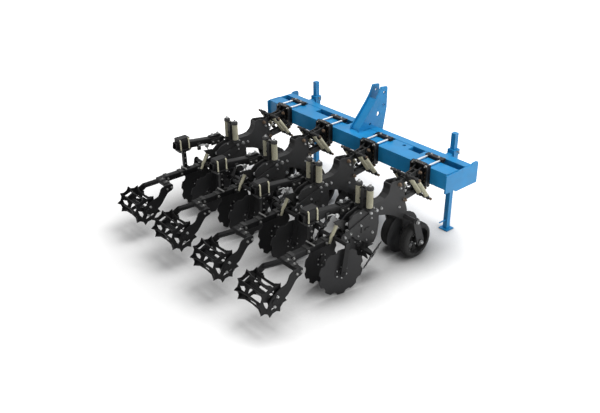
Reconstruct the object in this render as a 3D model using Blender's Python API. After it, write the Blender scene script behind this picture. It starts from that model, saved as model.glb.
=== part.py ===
"""Four-row strip-till cultivator for a tractor's three-point hitch.

Metres, +Z up, +Y forward (travel), +X right. The origin is on the ground, in the
middle of the machine's footprint. Each row unit hangs behind the toolbar on a
parallel linkage and carries, from front to rear: two gauge wheels beside an opener
disc, two star wheels, a tine, two notched side discs and a spiked roller.
"""
import math

import bmesh
import bpy
from mathutils import Matrix, Vector

# Toolbar
ROWS = 4
ROW_PITCH = 0.75
END_OVERHANG = 0.335
TOOLBAR_TOP = 0.965
MAIN_TUBE = 0.18
LADDER_GAP = 0.11
FRONT_TUBE_WIDTH = 0.10
FRONT_TUBE_HEIGHT = 0.10
END_PLATE_THICK = 0.015
END_PLATE_REACH = 0.49
END_PLATE_DROP = 0.235
BRIDGE_HOLE_X = 0.658
BRIDGE_HOLE_RADIUS = 0.022

# Reach of the machine behind and ahead of the main tube's rear face
ROLLER_REACH = 2.15
FRONT_REACH = 0.62

# Headstock, category 2
HITCH_SPREAD = 0.825
MAST_HEIGHT = 0.61
TOP_PIN_HEIGHT = 0.392
HEADSTOCK_GAP = 0.115
HEADSTOCK_PLATE = 0.015
TOP_PIN_BORE = 0.0135

# Parking stands
STAND_Y = 0.507
LEG_SIZE = 0.056
LEG_TOP = 0.215
SLEEVE_WALL = 0.010
SLEEVE_CLEARANCE = 0.0006
FOOT_SIZE = 0.12
FOOT_THICK = 0.012

# Gaps between pieces that touch, and at faces that turn on each other
SEAT_GAP = 0.0003
RUN_GAP = 0.0005

# Row unit: body plates and linkage
PLATE_THICK = 0.012
BODY_WIDTH = 0.095
LINK_RUN = 0.30
LINK_DROP = 0.04
SPRING_CORE = 0.028
SPRING_X = (-0.12, 0.12, 0.19)
TOWER_Y = -0.84
TOWER_SPRING_X = 0.077

# Gauge wheels and opener disc
PIVOT_Y = -0.276
PIVOT_DROP = 0.495
GAUGE_RADIUS = 0.20
GAUGE_WIDTH = 0.105
GAUGE_INNER_X = 0.085
GAUGE_Y = -0.195
GAUGE_WINDOWS = 5
OPENER_RADIUS = 0.240
OPENER_THICK = 0.006
OPENER_Y = -0.240
OPENER_HEIGHT = 0.245
OPENER_HUB_HALF = 0.022

# Star wheels, leaning outward at the top and toed in at the front
STAR_RADIUS = 0.17
STAR_TEETH = 12
STAR_X = 0.105
STAR_Y = -0.80
STAR_HEIGHT = 0.235
STAR_TOE = math.radians(23)
STAR_LEAN = math.radians(24)
STAR_HUB_HALF = 0.014

# Side discs, standing on the ground and toed out at the front
SIDE_DISC_RADIUS = 0.262
SIDE_DISC_NOTCHES = 10
SIDE_DISC_NOTCH_DEPTH = 0.026
SIDE_DISC_X = 0.15
SIDE_DISC_Y = -1.28
SIDE_DISC_TOE = math.radians(10)
SIDE_DISC_THICK = 0.006
SIDE_DISC_LAND = 0.5
SIDE_HUB_IN = 0.020
SIDE_HUB_OUT = 0.026
SIDE_ARM_X = 0.192

# Tine, rear beam and lower arm
TINE_THICK = 0.025
BEAM_SIZE = 0.08
BEAM_X = -0.125
BEAM_START_Y = -0.895
BEAM_START_DROP = 0.207
BEAM_SLOPE = 0.133
ARM_X = -0.05
ARM_SIZE = 0.07
ARM_START_Y = -1.115
ARM_DROP = 0.435

# Cage roller and its fork; lengths run forward from the roller's axle
ROLLER_RADIUS = 0.178
ROLLER_TEETH = 9
ROLLER_PHASE = math.radians(17)
ROLLER_HALF_WIDTH = 0.178
ROLLER_HEIGHT = 0.342
FORK_CLEARANCE = 0.024
FORK_LENGTH = 0.28
POST_LENGTH = 0.65

HALF_BODY = BODY_WIDTH / 2
INSIDE = HALF_BODY - PLATE_THICK
HALF_ROWS = ROW_PITCH * (ROWS - 1) / 2
TOOLBAR_LENGTH = 2 * (HALF_ROWS + END_OVERHANG)
FRONT_TUBE_Y = MAIN_TUBE + LADDER_GAP
FRONT_FACE_Y = FRONT_TUBE_Y + FRONT_TUBE_WIDTH
TOOLBAR_Y = (ROLLER_REACH + ROLLER_RADIUS - FRONT_REACH) / 2
SIDE_DISC_HEIGHT = SIDE_DISC_RADIUS * math.cos(math.pi * (1 - SIDE_DISC_LAND) / SIDE_DISC_NOTCHES)
FORK_Y = -ROLLER_REACH + FORK_LENGTH
POST_Y = -ROLLER_REACH + POST_LENGTH
FORK_X = ROLLER_HALF_WIDTH + FORK_CLEARANCE

SIDES = (("left", -1), ("right", 1))


def clear_scene():
    """Remove whatever the scene holds."""
    for item in list(bpy.data.objects):
        bpy.data.objects.remove(item, do_unlink=True)


def make_material(name, colour, roughness, metallic):
    """Principled material of one colour."""
    material = bpy.data.materials.new(name)
    material.use_nodes = True
    shader = material.node_tree.nodes["Principled BSDF"]
    shader.inputs["Base Color"].default_value = (*colour, 1.0)
    shader.inputs["Roughness"].default_value = roughness
    shader.inputs["Metallic"].default_value = metallic
    return material


def at_top(offset):
    """Height above ground of a point given from the toolbar's top face."""
    return TOOLBAR_TOP + offset


# Simple solids, each returned as a bmesh

def box(low, high):
    """Axis-aligned box between two corners."""
    shape = bmesh.new()
    bmesh.ops.create_cube(shape, size=1.0)
    low, high = Vector(low), Vector(high)
    size = high - low
    bmesh.ops.transform(shape, matrix=Matrix.LocRotScale((low + high) / 2, None, size), verts=shape.verts)
    return shape


def prism(outline, x_low, x_high):
    """Outline of (y, z) points extruded along X."""
    shape = bmesh.new()
    ring = [shape.verts.new((x_low, y, z)) for y, z in outline]
    face = shape.faces.new(ring)
    made = bmesh.ops.extrude_face_region(shape, geom=[face])
    top = [item for item in made["geom"] if isinstance(item, bmesh.types.BMVert)]
    bmesh.ops.translate(shape, verts=top, vec=(x_high - x_low, 0, 0))
    bmesh.ops.recalc_face_normals(shape, faces=shape.faces)
    return shape


def lathe(profile, segments):
    """Closed profile of (x, radius) points turned about the X axis."""
    shape = bmesh.new()
    rings = []
    for step in range(segments):
        turn = 2 * math.pi * step / segments
        ring = []
        for x, radius in profile:
            ring.append(shape.verts.new((x, radius * math.cos(turn), radius * math.sin(turn))))
        rings.append(ring)
    count = len(profile)
    closed = all(radius > 0 for _, radius in profile)
    for step in range(segments):
        here, there = rings[step], rings[(step + 1) % segments]
        for index in range(count if closed else count - 1):
            after = (index + 1) % count
            shape.faces.new((here[index], here[after], there[after], there[index]))
    if not closed:
        bmesh.ops.remove_doubles(shape, verts=shape.verts, dist=1e-6)
    bmesh.ops.recalc_face_normals(shape, faces=shape.faces)
    return shape


def rod(start, end, radius, segments=12):
    """Round bar between two points."""
    start, end = Vector(start), Vector(end)
    shape = bmesh.new()
    along = end - start
    bmesh.ops.create_cone(
        shape, cap_ends=True, segments=segments, radius1=radius, radius2=radius, depth=along.length)
    turn = along.to_track_quat("Z", "Y").to_matrix().to_4x4()
    bmesh.ops.transform(shape, matrix=Matrix.Translation((start + end) / 2) @ turn, verts=shape.verts)
    return shape


def bar(start, end, width, height):
    """Rectangular bar between two points; width lies across the bar, along X where it can."""
    start, end = Vector(start), Vector(end)
    along = (end - start).normalized()
    side = Vector((1, 0, 0)) if abs(along.x) < 0.9 else Vector((0, 1, 0))
    upward = side.cross(along).normalized()
    side = along.cross(upward).normalized()
    shape = bmesh.new()
    corners = []
    for end_point in (start, end):
        for across, rise in ((-1, -1), (1, -1), (1, 1), (-1, 1)):
            corners.append(shape.verts.new(end_point + side * across * width / 2 + upward * rise * height / 2))
    shape.faces.new(corners[0:4])
    shape.faces.new(corners[4:8])
    for index in range(4):
        after = (index + 1) % 4
        shape.faces.new((corners[index], corners[after], corners[after + 4], corners[index + 4]))
    bmesh.ops.recalc_face_normals(shape, faces=shape.faces)
    return shape


def placed(shape, matrix):
    """Move a solid by a matrix and hand it back."""
    bmesh.ops.transform(shape, matrix=matrix, verts=shape.verts)
    return shape


def arc(centre, radius, start_deg, end_deg, steps):
    """Points of an arc in the (y, z) plane."""
    points = []
    for step in range(steps + 1):
        angle = math.radians(start_deg + (end_deg - start_deg) * step / steps)
        points.append((centre[0] + radius * math.cos(angle), centre[1] + radius * math.sin(angle)))
    return points


def stadium(start, end, radius, steps=3):
    """Outline of a bar with round ends between two (y, z) points."""
    slope = math.degrees(math.atan2(end[1] - start[1], end[0] - start[0]))
    return arc(end, radius, slope - 90, slope + 90, steps) + arc(start, radius, slope + 90, slope + 270, steps)


def teardrop(start, start_radius, end, end_radius, steps=5):
    """Outline of a plate that widens between two round (y, z) ends."""
    run, rise = end[0] - start[0], end[1] - start[1]
    slope = math.degrees(math.atan2(rise, run))
    spread = math.degrees(math.acos((start_radius - end_radius) / math.hypot(run, rise)))
    return (arc(end, end_radius, slope - spread, slope + spread, steps)
            + arc(start, start_radius, slope + spread, slope + 360 - spread, steps))


def mesh_from(shape, name):
    """Turn a bmesh into mesh data."""
    mesh = bpy.data.meshes.new(name)
    shape.to_mesh(mesh)
    shape.free()
    return mesh


def boolean(shapes, name, operation):
    """Combine solids into one closed body: the first with each of the others."""
    items = []
    for index, shape in enumerate(shapes):
        item = bpy.data.objects.new(f"{name}_shape_{index}", mesh_from(shape, f"{name}_shape_{index}"))
        bpy.context.scene.collection.objects.link(item)
        items.append(item)
    for item in items[1:]:
        step = items[0].modifiers.new(item.name, "BOOLEAN")
        step.object = item
        step.operation = operation
        step.solver = "EXACT"
    graph = bpy.context.evaluated_depsgraph_get()
    result = bmesh.new()
    result.from_mesh(items[0].evaluated_get(graph).to_mesh())
    for item in items:
        mesh = item.data
        bpy.data.objects.remove(item, do_unlink=True)
        bpy.data.meshes.remove(mesh)
    bmesh.ops.remove_doubles(result, verts=result.verts, dist=2e-5)
    bmesh.ops.dissolve_degenerate(result, edges=result.edges, dist=1e-6)
    bmesh.ops.dissolve_limit(result, angle_limit=math.radians(0.05), verts=result.verts, edges=result.edges)
    return result


def fused(shapes, name):
    """Union of several solids."""
    return boolean(shapes, name, "UNION")


def cut(shape, cutters, name):
    """First solid less the others."""
    return boolean([shape, *cutters], name, "DIFFERENCE")


def finished(shape, name, material, smooth=False):
    """Mesh data with its material."""
    mesh = mesh_from(shape, name)
    mesh.materials.append(material)
    if smooth:
        mesh.shade_smooth()
        mesh.set_sharp_from_angle(angle=math.radians(35))
    return mesh


def put(name, mesh, parent=None, location=(0, 0, 0), rotation=(0, 0, 0)):
    """Place mesh data as one named object."""
    item = bpy.data.objects.new(name, mesh)
    bpy.context.scene.collection.objects.link(item)
    item.location = location
    item.rotation_euler = rotation
    item.parent = parent
    return item


def empty(name, location):
    """Empty that carries the pieces of one assembly."""
    item = bpy.data.objects.new(name, None)
    bpy.context.scene.collection.objects.link(item)
    item.location = location
    return item


# Toolbar, headstock and stands, in a frame at the main tube's rear face, on the ground

def end_plate_outline():
    """Outline of an end plate, with its raised and rounded front flange."""
    flange_top = at_top(0.015)
    flange_back = END_PLATE_REACH - 0.09
    bottom = at_top(-END_PLATE_DROP)
    rounding = 0.03
    outline = [(-0.022, at_top(-0.005)), (-0.022, bottom + 0.025), (0.12, bottom + 0.025)]
    outline += [(0.15, bottom), (END_PLATE_REACH, bottom)]
    outline += arc((END_PLATE_REACH - rounding, flange_top - rounding), rounding, 0, 90, 4)
    outline += [(flange_back, flange_top), (flange_back - 0.02, at_top(-0.005))]
    return outline


def build_toolbar():
    """Main tube, front tube, bridge plates, end plates, stand sleeves and lower hitch lugs."""
    half = TOOLBAR_LENGTH / 2
    bottom = at_top(-MAIN_TUBE)
    shapes = [box((-half, 0, bottom), (half, MAIN_TUBE, TOOLBAR_TOP))]
    shapes.append(box(
        (-half + 0.001, FRONT_TUBE_Y, at_top(-FRONT_TUBE_HEIGHT)),
        (half - 0.001, FRONT_FACE_Y, at_top(-0.001))))
    # Bridge plates between the tubes: x middle, width
    for middle, width in ((-0.90, 0.24), (0.0, 0.40), (0.6175, 0.265), (0.97, 0.09)):
        shapes.append(box(
            (middle - width / 2, MAIN_TUBE - 0.01, at_top(-0.085)),
            (middle + width / 2, FRONT_TUBE_Y + 0.01, at_top(-0.004))))
    for _, side in SIDES:
        inner = side * (half - 0.002)
        outer = side * (half + END_PLATE_THICK)
        shapes.append(prism(end_plate_outline(), min(inner, outer), max(inner, outer)))
        shapes += stand_sleeve(side) + lower_hitch(side)
    y = (MAIN_TUBE + FRONT_TUBE_Y) / 2
    cutters = [rod((BRIDGE_HOLE_X, y, at_top(-0.1)), (BRIDGE_HOLE_X, y, at_top(0.01)), BRIDGE_HOLE_RADIUS, 8)]
    cutters += [stand_bore(side) for _, side in SIDES]
    return cut(fused(shapes, "toolbar_body"), cutters, "toolbar")


def stand_sleeve(side):
    """Sleeve that guides a parking leg, with the bracket to the front tube."""
    outer = LEG_SIZE / 2 + SLEEVE_CLEARANCE + SLEEVE_WALL
    x = side * HALF_ROWS
    sleeve = box((x - outer, STAND_Y - outer, at_top(-0.115)), (x + outer, STAND_Y + outer, at_top(0.005)))
    collar = box(
        (x - outer - 0.008, STAND_Y - outer - 0.008, at_top(-0.035)),
        (x + outer + 0.008, STAND_Y + outer + 0.008, at_top(0.03)))
    bracket = box(
        (x - 0.03, FRONT_FACE_Y - 0.01, at_top(-0.095)), (x + 0.03, STAND_Y - outer + 0.004, at_top(-0.01)))
    return [sleeve, collar, bracket]


def stand_bore(side):
    """Square hole through a sleeve."""
    reach = LEG_SIZE / 2 + SLEEVE_CLEARANCE
    x = side * HALF_ROWS
    return box((x - reach, STAND_Y - reach, at_top(-0.2)), (x + reach, STAND_Y + reach, at_top(0.1)))


def lower_hitch(side):
    """Pair of lugs for one lower link ball."""
    pin_y = FRONT_REACH - 0.045
    pin_z = at_top(TOP_PIN_HEIGHT - MAST_HEIGHT)
    outline = [(FRONT_FACE_Y - 0.06, at_top(-0.02)), (FRONT_FACE_Y - 0.06, at_top(-0.17))]
    outline += [(pin_y - 0.05, pin_z - 0.045)]
    outline += arc((pin_y, pin_z), 0.045, -90, 60, 6)
    outline += [(FRONT_FACE_Y + 0.02, at_top(-0.02))]
    middle = side * HITCH_SPREAD / 2
    solids = [prism(outline, middle + offset - 0.0075, middle + offset + 0.0075) for offset in (-0.0365, 0.0365)]
    solids.append(box(
        (middle - 0.035, FRONT_FACE_Y - 0.05, at_top(-0.15)), (middle + 0.035, FRONT_FACE_Y - 0.005, at_top(-0.03))))
    return solids


def headstock_outline():
    """Side view of a headstock plate: it stands on both tubes and hooks over the front one."""
    seat = at_top(SEAT_GAP)
    front = FRONT_FACE_Y + SEAT_GAP
    outline = [(0.10, seat), (front, seat), (front, at_top(-0.095)), (0.50, at_top(-0.095))]
    outline += [(0.553, at_top(0.20)), (0.553, at_top(0.455)), (0.44, at_top(0.467))]
    outline += [(0.374, at_top(0.35)), (0.283, at_top(0.225)), (0.19, at_top(0.115)), (0.115, at_top(0.045))]
    return outline


def build_headstock():
    """Two plates joined by a cross plate along their rear edge."""
    inner = HEADSTOCK_GAP / 2
    shapes = []
    for _, side in SIDES:
        near, far = side * inner, side * (inner + HEADSTOCK_PLATE)
        shapes.append(prism(headstock_outline(), min(near, far), max(near, far)))
    back = [(0.125, 0.030), (0.20, 0.100), (0.295, 0.210), (0.385, 0.330), (0.40, 0.320)]
    back += [(0.310, 0.195), (0.215, 0.085), (0.140, 0.015)]
    outline = [(y, at_top(z)) for y, z in back]
    shapes.append(prism(outline, -inner - 0.003, inner + 0.003))
    # Bores through both plates: y, height over the toolbar, radius
    bores = ((0.500, TOP_PIN_HEIGHT, TOP_PIN_BORE), (0.500, 0.240, 0.010), (0.394, 0.128, 0.028), (0.27, 0.030, 0.016))
    reach = inner + HEADSTOCK_PLATE + 0.01
    cutters = [rod((-reach, y, at_top(z)), (reach, y, at_top(z)), radius, 10) for y, z, radius in bores]
    return cut(fused(shapes, "headstock_body"), cutters, "headstock")


def build_leg():
    """Parking leg with its foot and locking pin, origin at the foot's middle on the ground."""
    half = LEG_SIZE / 2
    foot = box((-FOOT_SIZE / 2, -FOOT_SIZE / 2, 0), (FOOT_SIZE / 2, FOOT_SIZE / 2, FOOT_THICK))
    leg = box((-half, -half, FOOT_THICK - 0.002), (half, half, at_top(LEG_TOP)))
    pin = rod((0, -0.13, 0.12), (0, 0.045, 0.12), 0.008, 8)
    return fused([leg, foot, pin], "leg")


# Row unit, in a frame below the toolbar's rear face at the row's middle

UPPER_FRONT = (-0.09, at_top(-0.045))
LOWER_FRONT = (0.0, at_top(-0.25))
UPPER_REAR = (UPPER_FRONT[0] - LINK_RUN, UPPER_FRONT[1] - LINK_DROP)
LOWER_REAR = (LOWER_FRONT[0] - LINK_RUN, LOWER_FRONT[1] - LINK_DROP)
PIVOT = (PIVOT_Y, at_top(-PIVOT_DROP))
BACK_CURVE = (-0.64, at_top(-0.07))
BACK_CURVE_RADIUS = 0.12
HOLDER_MIDDLE = (-0.80, at_top(-0.27))
HOLDER_RADIUS = 0.297


def build_clamp():
    """Toolbar clamp: rear block, front jaw, tie rods and the lugs for both links."""
    bottom = at_top(-MAIN_TUBE)
    jaw_y = MAIN_TUBE + SEAT_GAP
    shapes = [
        box((-0.12, -0.032, bottom - 0.03), (0.12, -SEAT_GAP, at_top(0.030))),
        box((-0.10, jaw_y, bottom - 0.03), (0.10, jaw_y + 0.028, at_top(0.002))),
        box((-0.115, jaw_y - 0.001, at_top(0.001)), (0.115, jaw_y + 0.055, at_top(0.034)))]
    for _, side in SIDES:
        x = side * 0.085
        shapes.append(rod((x, -0.055, at_top(0.016)), (x, jaw_y + 0.07, at_top(0.016)), 0.010, 6))
        shapes.append(box((x - 0.010, -0.055, bottom - 0.026), (x + 0.010, jaw_y + 0.05, bottom - 0.006)))
        near, far = side * INSIDE, side * HALF_BODY
        upper = [(-0.02, at_top(0.024)), (-0.02, at_top(-0.150)), (-0.05, at_top(-0.150))]
        upper += arc(UPPER_FRONT, 0.036, 230, 80, 3)
        shapes.append(prism(upper, min(near, far), max(near, far)))
        lower = [(-0.030, at_top(-0.16)), (-0.030, bottom - 0.02), (-0.036, LOWER_FRONT[1] + 0.02)]
        lower += arc(LOWER_FRONT, 0.036, 180, 360, 4) + [(0.036, bottom - 0.008), (-0.002, bottom - 0.008)]
        lower += [(-0.002, at_top(-0.16))]
        shapes.append(prism(lower, min(near, far), max(near, far)))
    return fused(shapes, "clamp")


def build_links():
    """Upper and lower link, and the three load springs on their cross pins."""
    inside = INSIDE - SEAT_GAP
    shapes = [
        prism(stadium(UPPER_FRONT, UPPER_REAR, 0.026), -inside, inside),
        prism(stadium(LOWER_FRONT, LOWER_REAR, 0.028), -inside, inside)]
    top = (-0.294, at_top(-0.010))
    low = (-0.097, at_top(-0.283))
    reach = SPRING_CORE + 0.006
    for end in (top, low):
        shapes.append(rod((min(SPRING_X) - reach, *end), (max(SPRING_X) + reach, *end), 0.013, 6))
    for x in SPRING_X:
        shapes.append(rod((x, *top), (x, *low), SPRING_CORE, 6))
    shapes.append(box((-0.020, top[0] - 0.012, UPPER_FRONT[1] - 0.03), (0.020, top[0] + 0.012, top[1])))
    shapes.append(box((-0.020, low[0] - 0.012, low[1] - 0.004), (0.020, low[0] + 0.012, LOWER_FRONT[1])))
    return fused(shapes, "links")


def side_plate_outline():
    """Outline of a body plate: link head, hollow back, tine holder and the pivot lobe of the wheel arms."""
    outline = [(-0.491, at_top(-0.031)), (-0.350, at_top(-0.052)), (-0.316, at_top(-0.107))]
    outline += [(-0.286, at_top(-0.309)), (-0.258, at_top(-0.390))]
    outline += arc(PIVOT, 0.046, 15, -140, 3)
    outline += [(-0.448, at_top(-0.426)), (-0.560, at_top(-0.374)), (-0.672, at_top(-0.340))]
    outline += [(-0.668, at_top(-0.430)), (-0.690, at_top(-0.567)), (-0.730, at_top(-0.632)), (-0.800, at_top(-0.625))]
    outline += arc(HOLDER_MIDDLE, HOLDER_RADIUS, 250, 180, 4)
    outline += [(-1.035, at_top(-0.222)), (-0.900, at_top(-0.192)), (-0.760, at_top(-0.190))]
    return outline + arc(BACK_CURVE, BACK_CURVE_RADIUS, -90, 5, 4)


def wrap_outline():
    """Curved strip that joins the two plates along their hollow back."""
    outer = arc(BACK_CURVE, BACK_CURVE_RADIUS + 0.003, 12, -90, 4) + [(-0.775, at_top(-0.193))]
    inner = [(-0.775, at_top(-0.206))] + arc(BACK_CURVE, BACK_CURVE_RADIUS + 0.016, -90, 12, 4)
    return outer + inner


def build_frame():
    """Body of the row unit: side plates, wrap, wheel arms, disc arms, star arm and spring tower."""
    shapes = []
    wall = INSIDE + 0.002
    for _, side in SIDES:
        near, far = side * INSIDE, side * HALF_BODY
        shapes.append(prism(side_plate_outline(), min(near, far), max(near, far)))
        # Packer between plate and tine
        near, far = side * (TINE_THICK / 2 + SEAT_GAP), side * wall
        shapes.append(box((min(near, far), -0.915, at_top(-0.285)), (max(near, far), -0.862, at_top(-0.225))))
    shapes.append(prism(wrap_outline(), -HALF_BODY + 0.002, HALF_BODY - 0.002))
    shapes.append(box((-wall, -0.600, at_top(-0.335)), (wall, -0.560, at_top(-0.295))))
    return fused(shapes + wheel_arms() + opener_arms() + star_arm() + spring_tower(), "frame")


def wheel_arms():
    """Cross tubes and the two shield-shaped outer arms that carry the gauge wheels."""
    face = GAUGE_INNER_X + GAUGE_WIDTH
    inner, outer = face + 0.012, face + 0.024
    end = (GAUGE_Y + 0.006, GAUGE_RADIUS)
    shapes = []
    for _, side in SIDES:
        shapes.append(rod((side * 0.030, *PIVOT), (side * (outer + 0.012), *PIVOT), 0.024, 6))
        shield = teardrop(PIVOT, 0.042, end, 0.052, 4)
        shapes.append(prism(shield, min(side * inner, side * outer), max(side * inner, side * outer)))
        shapes.append(rod((side * face, GAUGE_Y, GAUGE_RADIUS), (side * (outer + 0.010), GAUGE_Y, GAUGE_RADIUS), 0.032, 6))
    return shapes


def opener_arms():
    """Two thin arms that carry the opener disc."""
    hub = OPENER_HUB_HALF + RUN_GAP
    shapes = []
    for _, side in SIDES:
        near, far = side * (hub + 0.002), side * (hub + 0.014)
        arm = stadium((PIVOT[0] + 0.004, PIVOT[1] + 0.002), (OPENER_Y, OPENER_HEIGHT), 0.027, 2)
        shapes.append(prism(arm, min(near, far), max(near, far)))
        shapes.append(rod(
            (side * hub, OPENER_Y, OPENER_HEIGHT), (side * (hub + 0.022), OPENER_Y, OPENER_HEIGHT), 0.033, 6))
    return shapes


def star_axis(side):
    """Direction of a star wheel's axle, pointing away from the row's middle."""
    flat = math.cos(STAR_LEAN)
    return Vector((side * math.cos(STAR_TOE) * flat, math.sin(STAR_TOE) * flat, -math.sin(STAR_LEAN)))


def star_arm():
    """Arm from the tine holder to the two star wheel axles."""
    faces = []
    for _, side in SIDES:
        centre = Vector((side * STAR_X, STAR_Y, STAR_HEIGHT))
        face = centre - star_axis(side) * (STAR_HUB_HALF + RUN_GAP)
        faces.append((face, face - star_axis(side) * 0.095))
    hub = (faces[0][1] + faces[1][1]) / 2
    wall = INSIDE + 0.002
    shapes = [bar((0, -0.730, at_top(-0.50)), hub + Vector((0, 0, -0.012)), 0.050, 0.060)]
    shapes.append(box((-wall, -0.760, at_top(-0.54)), (wall, -0.705, at_top(-0.48))))
    return shapes + [rod(start, end, 0.026, 6) for start, end in faces]


def spring_tower():
    """Seat plate, middle bracket and the two upright springs with their caps and rods."""
    seat = at_top(-0.19)
    y = TOWER_Y
    shapes = [box((-0.115, y - 0.045, seat - 0.018), (0.115, y + 0.05, seat))]
    shapes.append(prism(
        [(y - 0.035, seat - 0.01), (y + 0.04, seat - 0.01), (y + 0.04, at_top(-0.03)), (y + 0.01, at_top(0.01)),
         (y - 0.025, at_top(0.01)), (y - 0.035, at_top(-0.03))], -0.022, 0.022))
    for _, side in SIDES:
        x = side * TOWER_SPRING_X
        shapes.append(rod((x, y, seat - 0.012), (x, y, at_top(0.028)), SPRING_CORE, 8))
        shapes.append(rod((x, y, at_top(0.022)), (x, y, at_top(0.050)), SPRING_CORE + 0.006, 8))
        shapes.append(rod((x, y, at_top(0.045)), (x, y, at_top(0.075)), 0.011, 6))
    return shapes


def build_tine():
    """Curved tine with its point, gripped between the body plates."""
    outline = [(-0.86, at_top(-0.30)), (-0.86, at_top(-0.218)), (-0.95, at_top(-0.218)), (-1.03, at_top(-0.26))]
    outline += [(-1.05, at_top(-0.40)), (-1.03, at_top(-0.62)), (-0.995, at_top(-0.80)), (-0.955, 0.045)]
    outline += [(-0.86, 0.02), (-0.90, 0.075), (-0.94, at_top(-0.78)), (-0.965, at_top(-0.62)), (-0.98, at_top(-0.40))]
    outline += [(-0.95, at_top(-0.305))]
    return prism(outline, -TINE_THICK / 2, TINE_THICK / 2)


def build_gauge_wheel(side):
    """Gauge wheel: tyre, web with windows and hub, turning about X; the deeper dish is outside."""
    inner, outer = GAUGE_INNER_X, GAUGE_INNER_X + GAUGE_WIDTH
    web = inner + 0.36 * GAUGE_WIDTH
    face, bead = outer - RUN_GAP, GAUGE_RADIUS - 0.048
    profile = [(face, 0.0), (face, 0.034), (web + 0.010, 0.038), (web + 0.010, bead - 0.010), (outer, bead)]
    profile += [(outer, GAUGE_RADIUS - 0.020), (outer - 0.020, GAUGE_RADIUS)]
    profile += [(inner + 0.020, GAUGE_RADIUS), (inner, GAUGE_RADIUS - 0.020), (inner, bead)]
    profile += [(web, bead - 0.010), (web, 0.038), (inner + 0.012, 0.034), (inner + 0.012, 0.0)]
    windows = []
    for index in range(GAUGE_WINDOWS):
        middle = 90 + 360 * index / GAUGE_WINDOWS
        outline = arc((0, 0), 0.128, middle - 20, middle + 20, 2) + arc((0, 0), 0.068, middle + 16, middle - 16, 1)
        windows.append(prism(outline, side * (web + 0.005) - 0.02, side * (web + 0.005) + 0.02))
    wheel = lathe([(side * x, radius) for x, radius in profile], 16)
    return cut(wheel, windows, f"gauge_wheel_{side}")


def toothed_outline(radius, teeth, steps, phase=math.pi / 2):
    """Rim of a wheel as (y, z) points; steps are (share of a pitch, share of the radius) in each tooth."""
    pitch = 2 * math.pi / teeth
    points = []
    for index in range(teeth):
        for share, scale in steps:
            angle = phase + pitch * (index + share)
            points.append((radius * scale * math.cos(angle), radius * scale * math.sin(angle)))
    return points


def build_opener_disc():
    """Opener disc with shallow notches and its hub."""
    rim = toothed_outline(OPENER_RADIUS, 11, ((-0.25, 1.0), (0.25, 1.0), (0.5, 0.967)))
    shapes = [prism(rim, -OPENER_THICK / 2, OPENER_THICK / 2)]
    shapes.append(rod((-OPENER_HUB_HALF, 0, 0), (OPENER_HUB_HALF, 0, 0), 0.042, 8))
    return fused(shapes, "opener_disc")


def build_star_wheel(side):
    """Star wheel with swept teeth; its axle points along local X."""
    rim = toothed_outline(STAR_RADIUS, STAR_TEETH, ((0.0, 1.0), (0.62, 0.64)))
    shapes = [prism(rim, -0.004, 0.004), rod((-STAR_HUB_HALF, 0, 0), (STAR_HUB_HALF, 0, 0), 0.040, 8)]
    return fused(shapes, "star_wheel")


def build_side_disc(side):
    """Notched side disc with its hub; its axle points along local X."""
    land = SIDE_DISC_LAND / 2
    floor = 1 - SIDE_DISC_NOTCH_DEPTH / SIDE_DISC_RADIUS
    steps = ((-land, 1.0), (land, 1.0), (0.5 - land / 4, floor), (0.5 + land / 4, floor))
    rim = toothed_outline(SIDE_DISC_RADIUS, SIDE_DISC_NOTCHES, steps)
    shapes = [prism(rim, -SIDE_DISC_THICK / 2, SIDE_DISC_THICK / 2)]
    shapes.append(rod((-side * SIDE_HUB_IN, 0, 0), (side * SIDE_HUB_OUT, 0, 0), 0.046, 8))
    return fused(shapes, "side_disc")


def side_axis(side):
    """Direction of a side disc's axle, pointing away from the row's middle."""
    return Vector((side * math.cos(SIDE_DISC_TOE), -math.sin(SIDE_DISC_TOE), 0))


def beam_z(y):
    """Middle height of the rear beam at a place along the machine."""
    return at_top(-BEAM_START_DROP + (BEAM_START_Y - y) * BEAM_SLOPE)


def build_rear_arm():
    """Rear beam with its clamp and post, lower arm, side disc carrier and roller fork."""
    beam_end = POST_Y - 0.11
    arm_z = at_top(-ARM_DROP)
    half = ARM_SIZE / 2
    shapes = [bar((BEAM_X, BEAM_START_Y, beam_z(BEAM_START_Y)), (BEAM_X, beam_end, beam_z(beam_end)), BEAM_SIZE, BEAM_SIZE)]
    shapes.append(rod((-HALF_BODY - SEAT_GAP, -0.92, at_top(-0.235)), (BEAM_X, -0.92, at_top(-0.235)), 0.028, 8))
    shapes.append(box((BEAM_X - 0.030, -1.08, beam_z(-1.08) + 0.030), (BEAM_X + 0.030, -0.93, beam_z(-1.08) + 0.052)))
    low, high = beam_z(POST_Y) - 0.056, beam_z(POST_Y) + 0.058
    shapes.append(box((BEAM_X - 0.054, POST_Y - 0.090, low), (BEAM_X + 0.054, POST_Y + 0.200, high)))
    shapes.append(box((BEAM_X - 0.026, POST_Y - 0.080, arm_z - 0.02), (BEAM_X + 0.060, POST_Y + 0.075, low + 0.01)))
    shapes.append(box((BEAM_X - 0.034, POST_Y - 0.020, arm_z - 0.028), (BEAM_X + 0.058, POST_Y + 0.010, low + 0.02)))
    shapes.append(box((ARM_X - half, FORK_Y - 0.02, arm_z - half), (ARM_X + half, ARM_START_Y, arm_z + half)))
    for _, side in SIDES:
        near, far = side * (HALF_BODY + SEAT_GAP), side * (HALF_BODY + SEAT_GAP + 0.012)
        strap = teardrop((-0.775, at_top(-0.285)), 0.038, (ARM_START_Y - 0.04, arm_z + 0.012), 0.048, 3)
        shapes.append(prism(strap, min(near, far), max(near, far)))
    reach = HALF_BODY + SEAT_GAP + 0.011
    shapes.append(rod((-reach, ARM_START_Y - 0.03, arm_z + 0.02), (reach, ARM_START_Y - 0.03, arm_z + 0.02), 0.026, 8))
    return fused(shapes + side_disc_carrier(arm_z) + roller_fork(arm_z), "rear_arm")


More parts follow.
